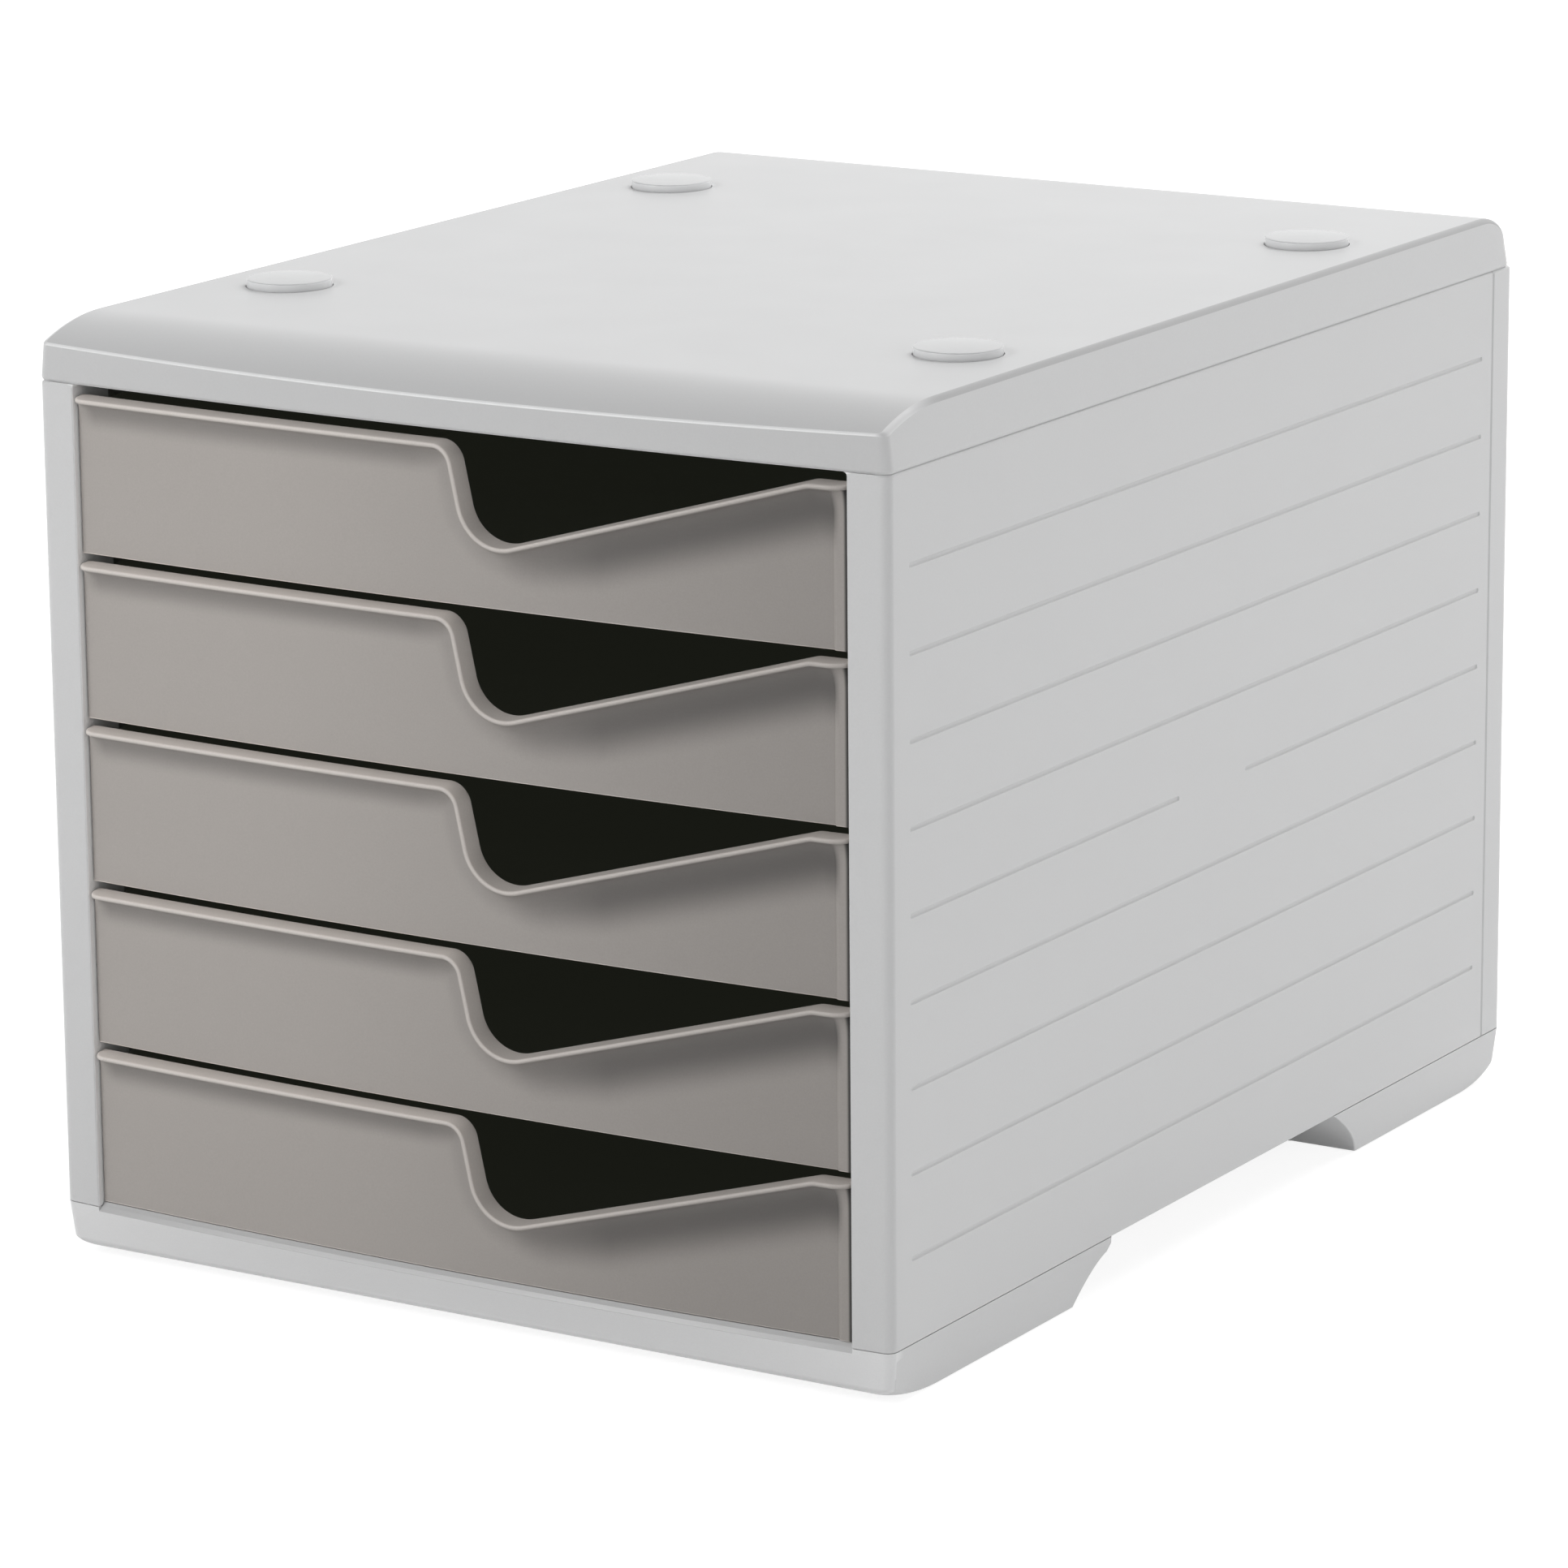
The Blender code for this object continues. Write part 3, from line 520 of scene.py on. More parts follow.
def cut(mesh, cutter):
    """The mesh with another closed mesh taken out of it."""
    target = bpy.data.objects.new("cover blank", mesh)
    tool = bpy.data.objects.new("seat cutter", cutter)
    for helper in (target, tool):
        bpy.context.scene.collection.objects.link(helper)
    step = target.modifiers.new("seats", "BOOLEAN")
    step.operation = "DIFFERENCE"
    step.solver = "EXACT"
    step.object = tool
    graph = bpy.context.evaluated_depsgraph_get()
    result = bpy.data.meshes.new_from_object(target.evaluated_get(graph))
    for helper in (target, tool):
        bpy.data.objects.remove(helper)
    return result


# Base


def arch_run_front(rise):
    """Share of the front arch's run at a share of its height: a power curve, then a step."""
    curve = np.clip(1 - rise / ARCH_CURVE_END, 0, 1) ** ARCH_CURVE_POWER
    step = np.clip((STEP_END - rise) / STEP_FALL, 0, 1) * STEP_RUN
    return np.where(rise < STEP_START, np.maximum(curve, STEP_RUN), step)


ARCH_CURVE_END = 0.78
ARCH_CURVE_POWER = 0.625
STEP_START = 0.75
STEP_END = 0.88
STEP_FALL = 0.13
STEP_RUN = 0.11
STEP_SHARES = np.array((0.745, STEP_START, 0.80, STEP_END, 0.90))
REAR_ARCH_POWER = 1.63


def arch_run_rear(rise):
    """Share of the rear arch's run at a share of its height: a power curve."""
    return 1 - rise**REAR_ARCH_POWER


def foot_rings(case, base, is_front):
    """A dished foot as rings from the table up its outside and back down its hollow.

    The underside rolls up to the front or rear face as a quarter of an ellipse, and the front
    face is straight at its lower edge and takes on the bow towards its upper edge.
    """
    top = BASE_HIGH.z
    height = top - base.stand_off
    roll = base.roll_rise * (1 - np.cos(FINE_QUARTER))
    above = np.linspace(base.roll_rise, height, EDGE_STEPS + 1)
    step = STEP_SHARES * height
    bevel = np.array((height - base.bevel - BREAK, height - base.bevel))
    rises = np.unique(np.concatenate((roll, above, step, bevel)))
    opening = HALF_WIDTH - case.column
    breaks = np.array((-opening - BREAK, -opening, opening, opening + BREAK))
    front_end = front_line(case) + base.front_foot
    rear_start = REAR_Y - base.rear_foot

    def outline(rise, inset):
        portion = rise / height
        low = max(1 - rise / base.roll_rise, 0)
        rolled = base.roll_run * (1 - np.sqrt(1 - low**2))
        half = HALF_WIDTH - base.taper * (1 - portion) - inset
        if is_front:
            corner = case.front_round + (base.corner - case.front_round) * low
            bow = case.bow * max(rise - base.roll_rise, 0) / (height - base.roll_rise)
            lean = base.front_lean * (1 - portion) + rolled + inset
            end = front_end - base.front_arch * float(arch_run_front(portion)) - inset
            back = max(rise - (height - base.bevel), 0)

            def front(x):
                bevelled = back * np.clip((opening + BREAK - np.abs(x)) / BREAK, 0, 1)
                return front_line(case) - bow * (1 - (x / HALF_WIDTH) ** 2) + lean + bevelled

            return plan_outline(half, front, end, corner, case.notch, FOOT_SHARES, breaks)
        corner = case.rear_round + (base.corner - case.rear_round) * low
        start = rear_start + base.rear_arch * float(arch_run_rear(portion)) + inset
        end = REAR_Y - base.rear_lean * (1 - portion) - rolled - inset
        return plan_outline(
            half, lambda x: start + 0 * x, end, case.notch, corner, FOOT_SHARES
        )

    outside = [raised(outline(rise, 0), base.stand_off + rise) for rise in rises]
    inside = [
        raised(outline(rise, case.wall), min(base.stand_off + rise + case.wall, top))
        for rise in rises[rises < height - case.wall][::-1]
    ]
    tongue_z = WALL_LOW.z - SEAM_TOUCH
    brim = [
        raised(outline(height, case.notch), top),
        raised(outline(height, case.notch), tongue_z),
        raised(outline(height, case.wall), tongue_z),
        raised(outline(height, case.wall), top),
    ]
    rings = np.array(outside + brim + inside)
    marks = np.zeros(rings.shape[:2])
    # Painted light on the base's front face and painted shade on the bevel
    marks[: len(outside)] = painted_base_light(case, base, rings[: len(outside)])
    return rings, marks


def painted_base_light(case, base, rings):
    """Painted light on the base: its front face is painted a touch lighter and the bevel over it
    painted darker, as shade.
    """
    ahead = rings[..., 1] < front_line(case) + case.front_round
    between = ahead & (np.abs(rings[..., 0]) <= HALF_WIDTH - case.column)
    bevel = between & (rings[..., 2] >= BASE_HIGH.z - base.bevel - BREAK / 2)
    return np.where(bevel, PAINTED_BEVEL_SHADE, PAINTED_BASE_FRONT_LIGHT * ahead)


FOOT_SHARES = eased(12, 1.5)
BREAK = 0.0002
# Shares of painted shade on the bevel and sill, and of painted light on the base's front face
PAINTED_BEVEL_SHADE = -0.16
PAINTED_BASE_FRONT_LIGHT = 0.22


def block(low, high):
    """The rings of an upright block between two corners."""
    corners = np.array(((low[0], low[1]), (high[0], low[1]), (high[0], high[1]), (low[0], high[1])))
    return np.array([raised(corners, z) for z in (low[2], high[2])])


def floor_plate(case, base):
    """The plate over the arch, which joins both feet."""
    half = HALF_WIDTH - base.plate_inset
    joint = case.wall * 1.5
    front = front_line(case) + base.front_foot - joint
    rear = REAR_Y - base.rear_foot + joint
    return block((-half, front, BASE_HIGH.z - case.wall), (half, rear, BASE_HIGH.z))


def sill(case, base):
    """The low sill between the columns, which carries the bevel on and nearly closes the gap."""
    half = HALF_WIDTH - case.column - SILL_GAP
    x = np.linspace(-half, half, BOW_STEPS + 1)
    front = bow_y(case, x) + base.bevel
    near = np.column_stack((x, front))
    far = np.column_stack((x, front + case.wall))[::-1]
    upper = near + (0, base.sill_height)
    return np.array([
        raised(np.concatenate((near, far)), BASE_HIGH.z - case.wall / 2),
        raised(np.concatenate((near, far)), BASE_HIGH.z),
        raised(np.concatenate((upper, far)), BASE_HIGH.z + base.sill_height),
    ])


SILL_GAP = 0.0003


# Walls


def line_places(case):
    """(start, end, height) of every pressed line; the middle one leaves a blank stretch."""
    start = front_line(case) + case.line_front
    end = REAR_Y - case.line_rear
    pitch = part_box("drawer_front_1")[0].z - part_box("drawer_front_2")[0].z
    count = 2 * DRAWER_COUNT - 1
    places = []
    for number in range(count):
        z = WALL_LOW.z + (number + 1) * pitch / 2
        if number == count // 2:
            blank = front_line(case) + case.blank_start
            places += [(start, blank, z), (blank + case.blank, end, z)]
        else:
            places.append((start, end, z))
    return places


def line_fall(case, y, z):
    """Depth of the pressed lines at places on the side.

    It depends on the distance to each line's middle: full depth less the fourth power of the
    distance over half the width.
    """
    half = case.line_width / 2
    deepest = np.zeros(np.broadcast(y, z).shape)
    for start, end, height in line_places(case):
        along = np.clip(y, start + half, end - half)
        distance = np.hypot(y - along, z - height) / half
        deepest = np.maximum(deepest, case.line_depth * (1 - np.clip(distance, 0, 1) ** 4))
    return deepest


def side_wall_rings(case):
    """The right wall: its outline in plan at many heights, pushed in along the pressed lines.

    The plan has a column that is hollow at the back, the wall, and a tongue behind the back panel.
    """
    half = case.line_width / 2
    opening = HALF_WIDTH - case.column
    column_rear = front_line(case) + case.column_depth
    flange = opening + case.wall
    inner = HALF_WIDTH - case.wall
    tongue = inner - (BACK_LOW.z - BASE_HIGH.z)
    wall_rear = REAR_Y - case.back_wrap
    side_front = bow_y(case, HALF_WIDTH - case.front_round) + case.front_round
    starts, ends, heights = (np.unique(places) for places in np.round(line_places(case), 9).T)
    near = LINE_END_SHARES * half
    crowded = np.concatenate([start + near for start in starts] + [end - near for end in ends])
    spread = np.linspace(side_front + near[-1], wall_rear - near[-1], SIDE_STATIONS)
    gap = np.abs(spread[:, None] - crowded).min(axis=1)
    stations = np.sort(np.concatenate((crowded, spread[gap > near[-1]])))
    r = case.column_round
    front_x = np.linspace(opening + r, HALF_WIDTH - case.front_round, 8)[1:-1]

    def plan(notch, fillet):
        x_out = HALF_WIDTH - notch
        corner_y = side_front + notch
        edge_y = bow_y(case, opening + r) + r
        return np.concatenate((
            ((opening - fillet, column_rear), (opening - fillet, edge_y)),
            arc((opening + r - fillet, edge_y), r, 180, 270, CORNER_STEPS // 2)[1:],
            np.column_stack((front_x, bow_y(case, front_x))),
            arc((x_out - case.front_round, corner_y), case.front_round, 270, 360),
            np.column_stack((np.full_like(stations, x_out), stations)),
            (
                (x_out, wall_rear - case.notch),
                (x_out - case.notch, wall_rear),
                (tongue, wall_rear),
                (tongue, wall_rear + case.tongue),
                (tongue - case.wall, wall_rear + case.tongue),
                (tongue - case.wall, wall_rear - case.tongue),
                (inner, wall_rear - 2 * case.tongue),
                (inner, bow_y(case, inner) + case.column_face),
                (flange, bow_y(case, flange) + case.column_face),
                (flange, column_rear),
            ),
        ))

    rows = (heights[:, None] + LINE_ACROSS_SHARES * half).ravel()
    top = WALL_HIGH.z
    upper = top - case.opening_round * (1 - np.sin(QUARTER_TURN))
    levels = np.unique(np.concatenate(((WALL_LOW.z, top - 2 * case.opening_round), rows, upper)))
    rings = []
    for z in levels:
        notch = max(case.notch - (top - z), 0)
        into = max(1 - (top - z) / case.opening_round, 0)
        fillet = case.opening_round * (1 - np.sqrt(1 - into**2))
        rings.append(raised(plan(notch, fillet), z))
    rings = np.array(rings)
    outer = rings[:, :, 0] > HALF_WIDTH - case.notch / 2
    fall = line_fall(case, rings[:, :, 1], rings[:, :, 2])
    rings[:, :, 0] -= np.where(outer, fall, 0)
    return rings


LINE_END_SHARES = np.array((-0.6, 0, 0.08, 0.25, 0.5, 0.75, 1, 1.5, 4))
LINE_ACROSS_SHARES = np.array(
    (-1.3, -1, -0.93, -0.8, -0.6, -0.35, 0, 0.35, 0.6, 0.8, 0.93, 1, 1.3)
)
SIDE_STATIONS = 24
# Share of painted light on the column's inner side face at the opening
PAINTED_INNER_EDGE_LIGHT = 0.50


def ledge_shells(case, tray, tray_low, tray_high):
    """The ledge that carries a tray, with the stop that the closed tray meets."""
    gap = BACK_LOW.z - BASE_HIGH.z
    low = tray_low.z - gap - case.ledge
    high = low + case.ledge
    start = front_line(case) + case.column_depth - case.wall
    stop = tray_high.y + gap
    end = stop + case.stop_thickness
    top = high + case.stop_height
    outline = ((start, low), (end, low), (end, top), (stop, top), (stop, high), (start, high))
    spans = (tray.half_width - case.ledge_reach, HALF_WIDTH - case.wall / 2)
    return np.array([[(x, *corner) for corner in outline] for x in spans])


def back_rings(case):
    """The back panel: a flat wall with both ends wrapped round the rear corners."""
    start = BACK_LOW.y
    radius = case.rear_round
    inner_x = HALF_WIDTH - case.wall
    inner_radius = radius - case.wall
    inner_y = REAR_Y - case.wall
    top = BACK_HIGH.z
    rings = []
    for z in (BACK_LOW.z, top - 2 * case.notch, top - case.notch, top):
        notch = case.notch * (z == top)
        x_out = HALF_WIDTH - notch
        half = np.concatenate((
            ((inner_x, start), (HALF_WIDTH - case.notch, start), (x_out, start + case.notch)),
            arc((x_out - radius, REAR_Y - notch - radius), radius, 0, 90),
        ))
        hollow = arc((inner_x - inner_radius, inner_y - inner_radius), inner_radius, 90, 0)
        flip = np.array((-1, 1))
        plan = np.concatenate((half, half[::-1] * flip, hollow[::-1] * flip, hollow))
        rings.append(raised(plan, z))
    return np.array(rings)


# Drawers


def edge_path(front, half):
    """The upper edge of a drawer front: arrays of x, depth below the top, and the normal's parts.

    It is level, dives round a tight bend into the finger cut, turns round a wide bend and climbs
    in a straight line to the right end. Bends are arcs that touch the straight stretches.
    """
    corners = np.array((
        (-half, 0),
        (front.cut_left, 0),
        (front.cut_corner, front.cut_depth),
        (half - front.cut_margin, 0),
        (half, 0),
    ))
    radii = (front.cut_top, front.cut_bottom, front.cut_end)
    steps = np.diff(corners, axis=0)
    angles = np.arctan2(steps[:, 1], steps[:, 0])
    pieces = []
    at = corners[0]

    def straight(start, end, angle):
        count = max(int(np.linalg.norm(end - start) / PATH_STEP), 1)
        along = np.linspace(0, 1, count + 1)[:-1, None]
        places = start + (end - start) * along
        return np.column_stack((places, np.full(count, angle)))

    for corner, radius, first, second in zip(corners[1:-1], radii, angles, angles[1:]):
        tangent = radius * np.tan(abs(second - first) / 2)
        bend_start = corner - tangent * np.array((np.cos(first), np.sin(first)))
        bend_end = corner + tangent * np.array((np.cos(second), np.sin(second)))
        pieces.append(straight(at, bend_start, first))
        way = np.sign(second - first)
        centre = bend_start + way * radius * np.array((-np.sin(first), np.cos(first)))
        count = max(int(radius * abs(second - first) / PATH_STEP * 2), CORNER_STEPS)
        turn = np.linspace(first, second, count + 1)[:-1]
        places = centre - way * radius * np.column_stack((-np.sin(turn), np.cos(turn)))
        pieces.append(np.column_stack((places, turn)))
        at = bend_end
    pieces.append(straight(at, corners[-1], angles[-1]))
    path = np.concatenate(pieces)
    path = path[np.abs(path[:, 0]) < half - front.end_round]
    ends = half - front.end_round * (1 - np.sin(FINE_QUARTER))
    right = np.column_stack((ends, np.zeros((len(ends), 2))))
    path = np.concatenate((right[::-1] * (-1, 1, 1), path, right))
    return path[:, 0], path[:, 1], -np.sin(path[:, 2]), np.cos(path[:, 2])


PATH_STEP = 0.0012


def shade_under_lip(x, distance):
    """How much darker the hollow under the lip is painted, as a painted shadow of the lip, from the
    distance to the lip's nose.

    It deepens towards its centre and fades to nothing at its end. SHADE_TABLE gives its depth,
    centre and end along the front, because the painted shadow is wider and deeper under the sloping
    edge.
    """
    depth, centre, end = (np.interp(x, SHADE_TABLE[0], row) for row in SHADE_TABLE[1:])
    inner = np.clip(distance / centre, 0, 1)
    outer = np.clip((end - distance) / (end - centre), 0, 1)
    rise = SHADE_START + (1 - SHADE_START) * inner * (2 - inner)
    return -depth * rise * outer**2 * (3 - 2 * outer)


SHADE_START = 0.45
# Painted shadow under the lip: x along the front, then the shadow's depth, centre and end
SHADE_TABLE = np.array((
    (-0.127, -0.121, -0.010, 0.005, 0.018, 0.030, 0.050, 0.123, 0.1245, 0.127),
    (0, 0.36, 0.36, 0.14, 0.14, 0.40, 0.64, 0.68, 0.10, 0),
    (0.0028, 0.0028, 0.0030, 0.0028, 0.0032, 0.0045, 0.0058, 0.0062, 0.0062, 0.0062),
    (0.009, 0.009, 0.009, 0.008, 0.009, 0.013, 0.017, 0.018, 0.018, 0.018),
))


def front_rings(case, front, low, high):
    """A drawer front as closed sections, one for each place along its upper edge, with their marks
    of painted light and shade.

    Every section runs from the rear edge over the sloping lip and its round nose, back along
    the underside of the lip, down the face and round the lower edge. The underside is a quarter
    of an ellipse in the distance to the nose, so the hollow follows every bend of the edge.
    """
    half = high.x
    top = high.z
    x, depth, nx, nz = edge_path(front, half)
    from_end = half - np.abs(x)
    into = np.clip(1 - from_end / front.end_round, 0, 1)
    full = np.sqrt(1 - into**2)
    rim_share = np.clip((front.rim - from_end) / front.rim_slope, 0, 1) * (x > 0)
    rim_share = rim_share**2 * (3 - 2 * rim_share)
    side_round = np.where(x > 0, front.edge_round, front.left_round)
    near = np.clip(1 - from_end / side_round, 0, 1)
    x = x - front.left_reach * into**2 * (x < 0)
    rim_edge = front.rim_rise * rim_share - side_round * (1 - np.sqrt(1 - near**2))
    reach = rim_edge + (front.setback + front.reach - rim_edge) * full
    slope_end = front.drop - front.nose
    lip_z = top - depth - slope_end
    # Where a thin dark line of painted shadow marks the gap at the right edge
    gap_shadow = np.clip(2 - 2 * from_end / PAINTED_GAP_SHADOW_WIDTH, 0, 1) * (x > 0)
    rows = []
    marks = []

    def add_row(px, pz, ahead, mark):
        rows.append(np.column_stack((px, bow_y(case, px) + front.setback - ahead, pz)))
        marks.append(np.broadcast_to(mark, len(px)))

    rear = -front.thickness
    # The lip's top is painted lighter, as painted light, fading out round the nose
    add_row(x, top - depth - front.nose / 2, np.full_like(x, rear), PAINTED_LIP_LIGHT)
    start = rear + front.nose / 2
    end = reach - front.nose
    for along in np.linspace(0, 1, LIP_ROWS + 1)[:-1]:
        add_row(x, top - depth - slope_end * along, start + (end - start) * along, PAINTED_LIP_LIGHT)
    for turn in HALF_TURN:
        along = front.nose * (1 - np.cos(turn))
        ahead = end + front.nose * np.sin(turn)
        share = (1 + np.cos(turn)) / 2
        add_row(x + nx * along, lip_z - nz * along, ahead, PAINTED_LIP_LIGHT * share)
    nose_low = 2 * front.nose
    straight = front.cut_top / 2 - front.nose
    falls = front.scoop * (1 - np.cos(FINE_QUARTER[1:]))
    floor = low.z + front.low_round
    path = np.column_stack((x, lip_z))
    sheets = [(min(fall, straight), max(fall - straight, 0)) for fall in falls]
    last_along, last_fall = sheets[-1]
    last_z = lip_z - nz * (nose_low + last_along) - last_fall
    for part in np.linspace(0, 1, FACE_ROWS + 1)[1:]:
        sheets.append((last_along, last_fall + (last_z - floor) * part))
    for along, down in sheets:
        px = x + nx * (nose_low + along)
        pz = lip_z - nz * (nose_low + along) - down
        distance = np.hypot(px[:, None] - path[:, 0], pz[:, None] - path[:, 1]).min(axis=1)
        distance = np.maximum(distance - nose_low, 0)
        away = np.clip(distance / front.scoop, 0, 1)
        hollow = 1 - np.sqrt(1 - (1 - away) ** 2)
        # Painted shadow under the lip, a painted highlight on the right rim, and the painted shadow
        # line along the right edge's gap
        mark = shade_under_lip(px, distance) + PAINTED_RIM_HIGHLIGHT * rim_share
        mark += (PAINTED_GAP_SHADOW - mark) * gap_shadow
        add_row(px, pz, rim_edge + (end - rim_edge) * hollow, mark)
    face = rows[-1]
    for turn in QUARTER_TURN[1:]:
        ring = face.copy()
        ring[:, 1] += front.low_round * (1 - np.cos(turn))
        ring[:, 2] -= front.low_round * np.sin(turn)
        rows.append(ring)
        # The lower edge is a painted highlight, except at the right edge's painted gap shadow
        marks.append(PAINTED_LOW_EDGE_HIGHLIGHT + (PAINTED_GAP_SHADOW - PAINTED_LOW_EDGE_HIGHLIGHT) * gap_shadow)
    rear_low = rows[0].copy()
    rear_low[:, 2] = low.z
    rows.append(rear_low)
    marks.append(np.zeros(len(x)))
    return np.stack(rows, axis=1), np.stack(marks, axis=1)


# Shares of painted light and shade on a front: painted light on the lip's top, painted highlights
# on the right rim and the lower edge, and a painted shadow line along the right edge's gap
PAINTED_LIP_LIGHT = 1.05
PAINTED_RIM_HIGHLIGHT = 0.12
PAINTED_LOW_EDGE_HIGHLIGHT = 0.90
PAINTED_GAP_SHADOW = -0.88
PAINTED_GAP_SHADOW_WIDTH = 0.0011
LIP_ROWS = 6
FACE_ROWS = 26


def tray_rings(case, tray, low, high, front_top):
    """A drawer tray as rings from its floor up the outside, over the rim and down inside.

    The rim drops to the low front wall behind the finger cut along a smooth step: three times
    the square less twice the cube of the share of the step's run.
    """
    half = tray.half_width
    front_offset = low.y - bow_y(case, 0)
    corner = tray.corner

    def plan(inset):
        return plan_outline(
            half - inset,
            lambda x: bow_y(case, x) + front_offset + inset,
            high.y - inset,
            max(corner - inset, tray.rim_round),
            max(corner - inset, tray.rim_round),
            TRAY_SHARES,
        )

    outer = plan(0)
    step_start = bow_y(case, half) + front_offset + corner
    climb = np.clip((outer[:, 1] - step_start) / tray.step_run, 0, 1)
    climb = climb**2 * (3 - 2 * climb)
    brim = front_top + (high.z - front_top) * climb
    rings = []
    foot = tray.foot_round
    for turn in QUARTER_TURN:
        rings.append(raised(plan(foot * (1 - np.sin(turn))), low.z + foot * (1 - np.cos(turn))))
    r = tray.rim_round
    for turn in HALF_TURN:
        wide = max(tray.wall - 2 * r, 0) * (turn > np.pi / 2)
        rings.append(raised(plan(r * (1 - np.cos(turn)) + wide), brim - r * (1 - np.sin(turn))))
    floor = low.z + tray.wall
    for turn in QUARTER_TURN:
        inset = tray.wall + foot * (1 - np.cos(turn))
        rings.append(raised(plan(inset), floor + foot * (1 - np.sin(turn))))
    return np.array(rings)


TRAY_SHARES = eased(30, 2.2)


def lug_shells(case, tray, low):
    """The stop lugs at both sides, which meet the columns when the drawer is drawn out."""
    inner = tray.half_width - tray.lug_overlap
    outer = HALF_WIDTH - case.column + case.wall
    start = front_line(case) + tray.lug_front
    end = start + tray.lug_length
    top = low.z + tray.lug_height
    spans = ((-outer, -inner), (inner, outer))
    return [block((left, start, low.z), (right, end, top)) for left, right in spans]


# Finishes


def add_node(tree, kind, values=None, **settings):
    """A new shader node with its settings and the values of its sockets."""
    node = tree.nodes.new(f"ShaderNode{kind}")
    for name, value in settings.items():
        setattr(node, name, value)
    for socket, value in (values or {}).items():
        node.inputs[socket].default_value = value
    return node


def join(tree, *links):
    """Links each pair of an output and an input."""
    for output, socket in links:
        tree.links.new(output, socket)


def ramp(tree, value, start, end, first, last):
    """A number that goes smoothly from first to last while the value goes from start to end."""
    limits = {"From Min": start, "From Max": end, "To Min": first, "To Max": last}
    node = add_node(tree, "MapRange", limits, interpolation_type="SMOOTHSTEP")
    join(tree, (value, node.inputs["Value"]))
    return node.outputs["Result"]


def scaled(tree, colour, factor):
    node = add_node(tree, "VectorMath", operation="SCALE")
    join(tree, (colour, node.inputs["Vector"]), (factor, node.inputs["Scale"]))
    return node.outputs["Vector"]


def new_material(name, colour, roughness):
    material = bpy.data.materials.new(name)
    material.use_nodes = True
    shader = material.node_tree.nodes["Principled BSDF"]
    shader.inputs["Base Color"].default_value = (*colour, 1)
    shader.inputs["Roughness"].default_value = roughness
    return material, shader


def satin_plastic(name, colour, roughness, grain, grain_height, mottle):
    """Moulded plastic with a fine spark-eroded grain and a faint unevenness in tone and sheen.

    Its tone at a place is the colour, more or less mottled by the grain, times one plus the mark,
    which paints light and shade onto the surface.
    """
    material, shader = new_material(name, colour, roughness)
    tree = material.node_tree
    place = add_node(tree, "TexCoord").outputs["Object"]
    fine = add_node(tree, "TexNoise", {"Scale": 1 / grain, "Detail": GRAIN_DETAIL})
    broad = add_node(tree, "TexNoise", {"Scale": 1 / SHEEN_SIZE, "Detail": SHEEN_DETAIL})
    bump = add_node(tree, "Bump", {"Strength": 1, "Distance": grain_height})
    limits = {"To Min": roughness - SHEEN_CHANGE, "To Max": roughness + SHEEN_CHANGE}
    sheen = add_node(tree, "MapRange", limits)
    tone = add_node(tree, "Mix", data_type="RGBA")
    for socket, share in (("A", 1 - mottle), ("B", 1 + mottle)):
        tone.inputs[socket].default_value = (*[part * share for part in colour], 1)
    # The mark attribute carries painted light and shade
    mark = add_node(tree, "Attribute", attribute_name="mark")
    level = add_node(tree, "Math", {1: 1}, operation="ADD")
    join(
        tree,
        (place, fine.inputs["Vector"]),
        (place, broad.inputs["Vector"]),
        (fine.outputs["Fac"], bump.inputs["Height"]),
        (bump.outputs["Normal"], shader.inputs["Normal"]),
        (broad.outputs["Fac"], sheen.inputs["Value"]),
        (sheen.outputs["Result"], shader.inputs["Roughness"]),
        (fine.outputs["Fac"], tone.inputs["Factor"]),
        (mark.outputs["Fac"], level.inputs[0]),
    )
    shaded = scaled(tree, tone.outputs["Result"], level.outputs["Value"])
    join(tree, (shaded, shader.inputs["Base Color"]))
    return material, shader, shaded


GRAIN_DETAIL = 3
SHEEN_SIZE = 0.03
SHEEN_DETAIL = 2
SHEEN_CHANGE = 0.05


def finish_named(context, name):
    """The finish of that name, made the first time that a piece asks for it."""
    if name in bpy.data.materials:
        return bpy.data.materials[name]
    return FINISHES[name](context.scene.drawer_colours, name)


def casing_finish(colours, name):
    return satin_plastic(
        name, colours.casing, colours.casing_roughness,
        grain=0.0005, grain_height=0.00002, mottle=0.035,
    )[0]


def front_finish(colours, name):
    """Satin taupe with a painted light falloff: lighter at a front's left end and a touch deeper
    towards its right end.
    """
    material, shader, shaded = satin_plastic(
        name, colours.front, colours.front_roughness,
        grain=0.0005, grain_height=0.00002, mottle=0.07,
    )
    tree = material.node_tree
    split = add_node(tree, "SeparateXYZ")
    join(tree, (add_node(tree, "TexCoord").outputs["Object"], split.inputs["Vector"]))
    # Painted light falloff from the left end of a front to its right end
    lighter, deeper = 1 + colours.front_light_falloff, 1 - colours.front_light_falloff
    across = ramp(tree, split.outputs["X"], PAINTED_FALLOFF_START, PAINTED_FALLOFF_END, lighter, deeper)
    join(tree, (scaled(tree, shaded, across), shader.inputs["Base Color"]))
    return material


# Where the painted light falloff starts and ends along X
PAINTED_FALLOFF_START = -0.075
PAINTED_FALLOFF_END = 0.125


def tray_finish(colours, name):
    """Near black, with a faint painted glow that stands in for the light inside the closed case."""
    material, shader, _ = satin_plastic(
        name, colours.tray, colours.tray_roughness,
        grain=0.0008, grain_height=0.00003, mottle=0.15,
    )
    shader.inputs["Emission Color"].default_value = (*PAINTED_INSIDE_GLOW, 1)
    shader.inputs["Emission Strength"].default_value = 1
    return material


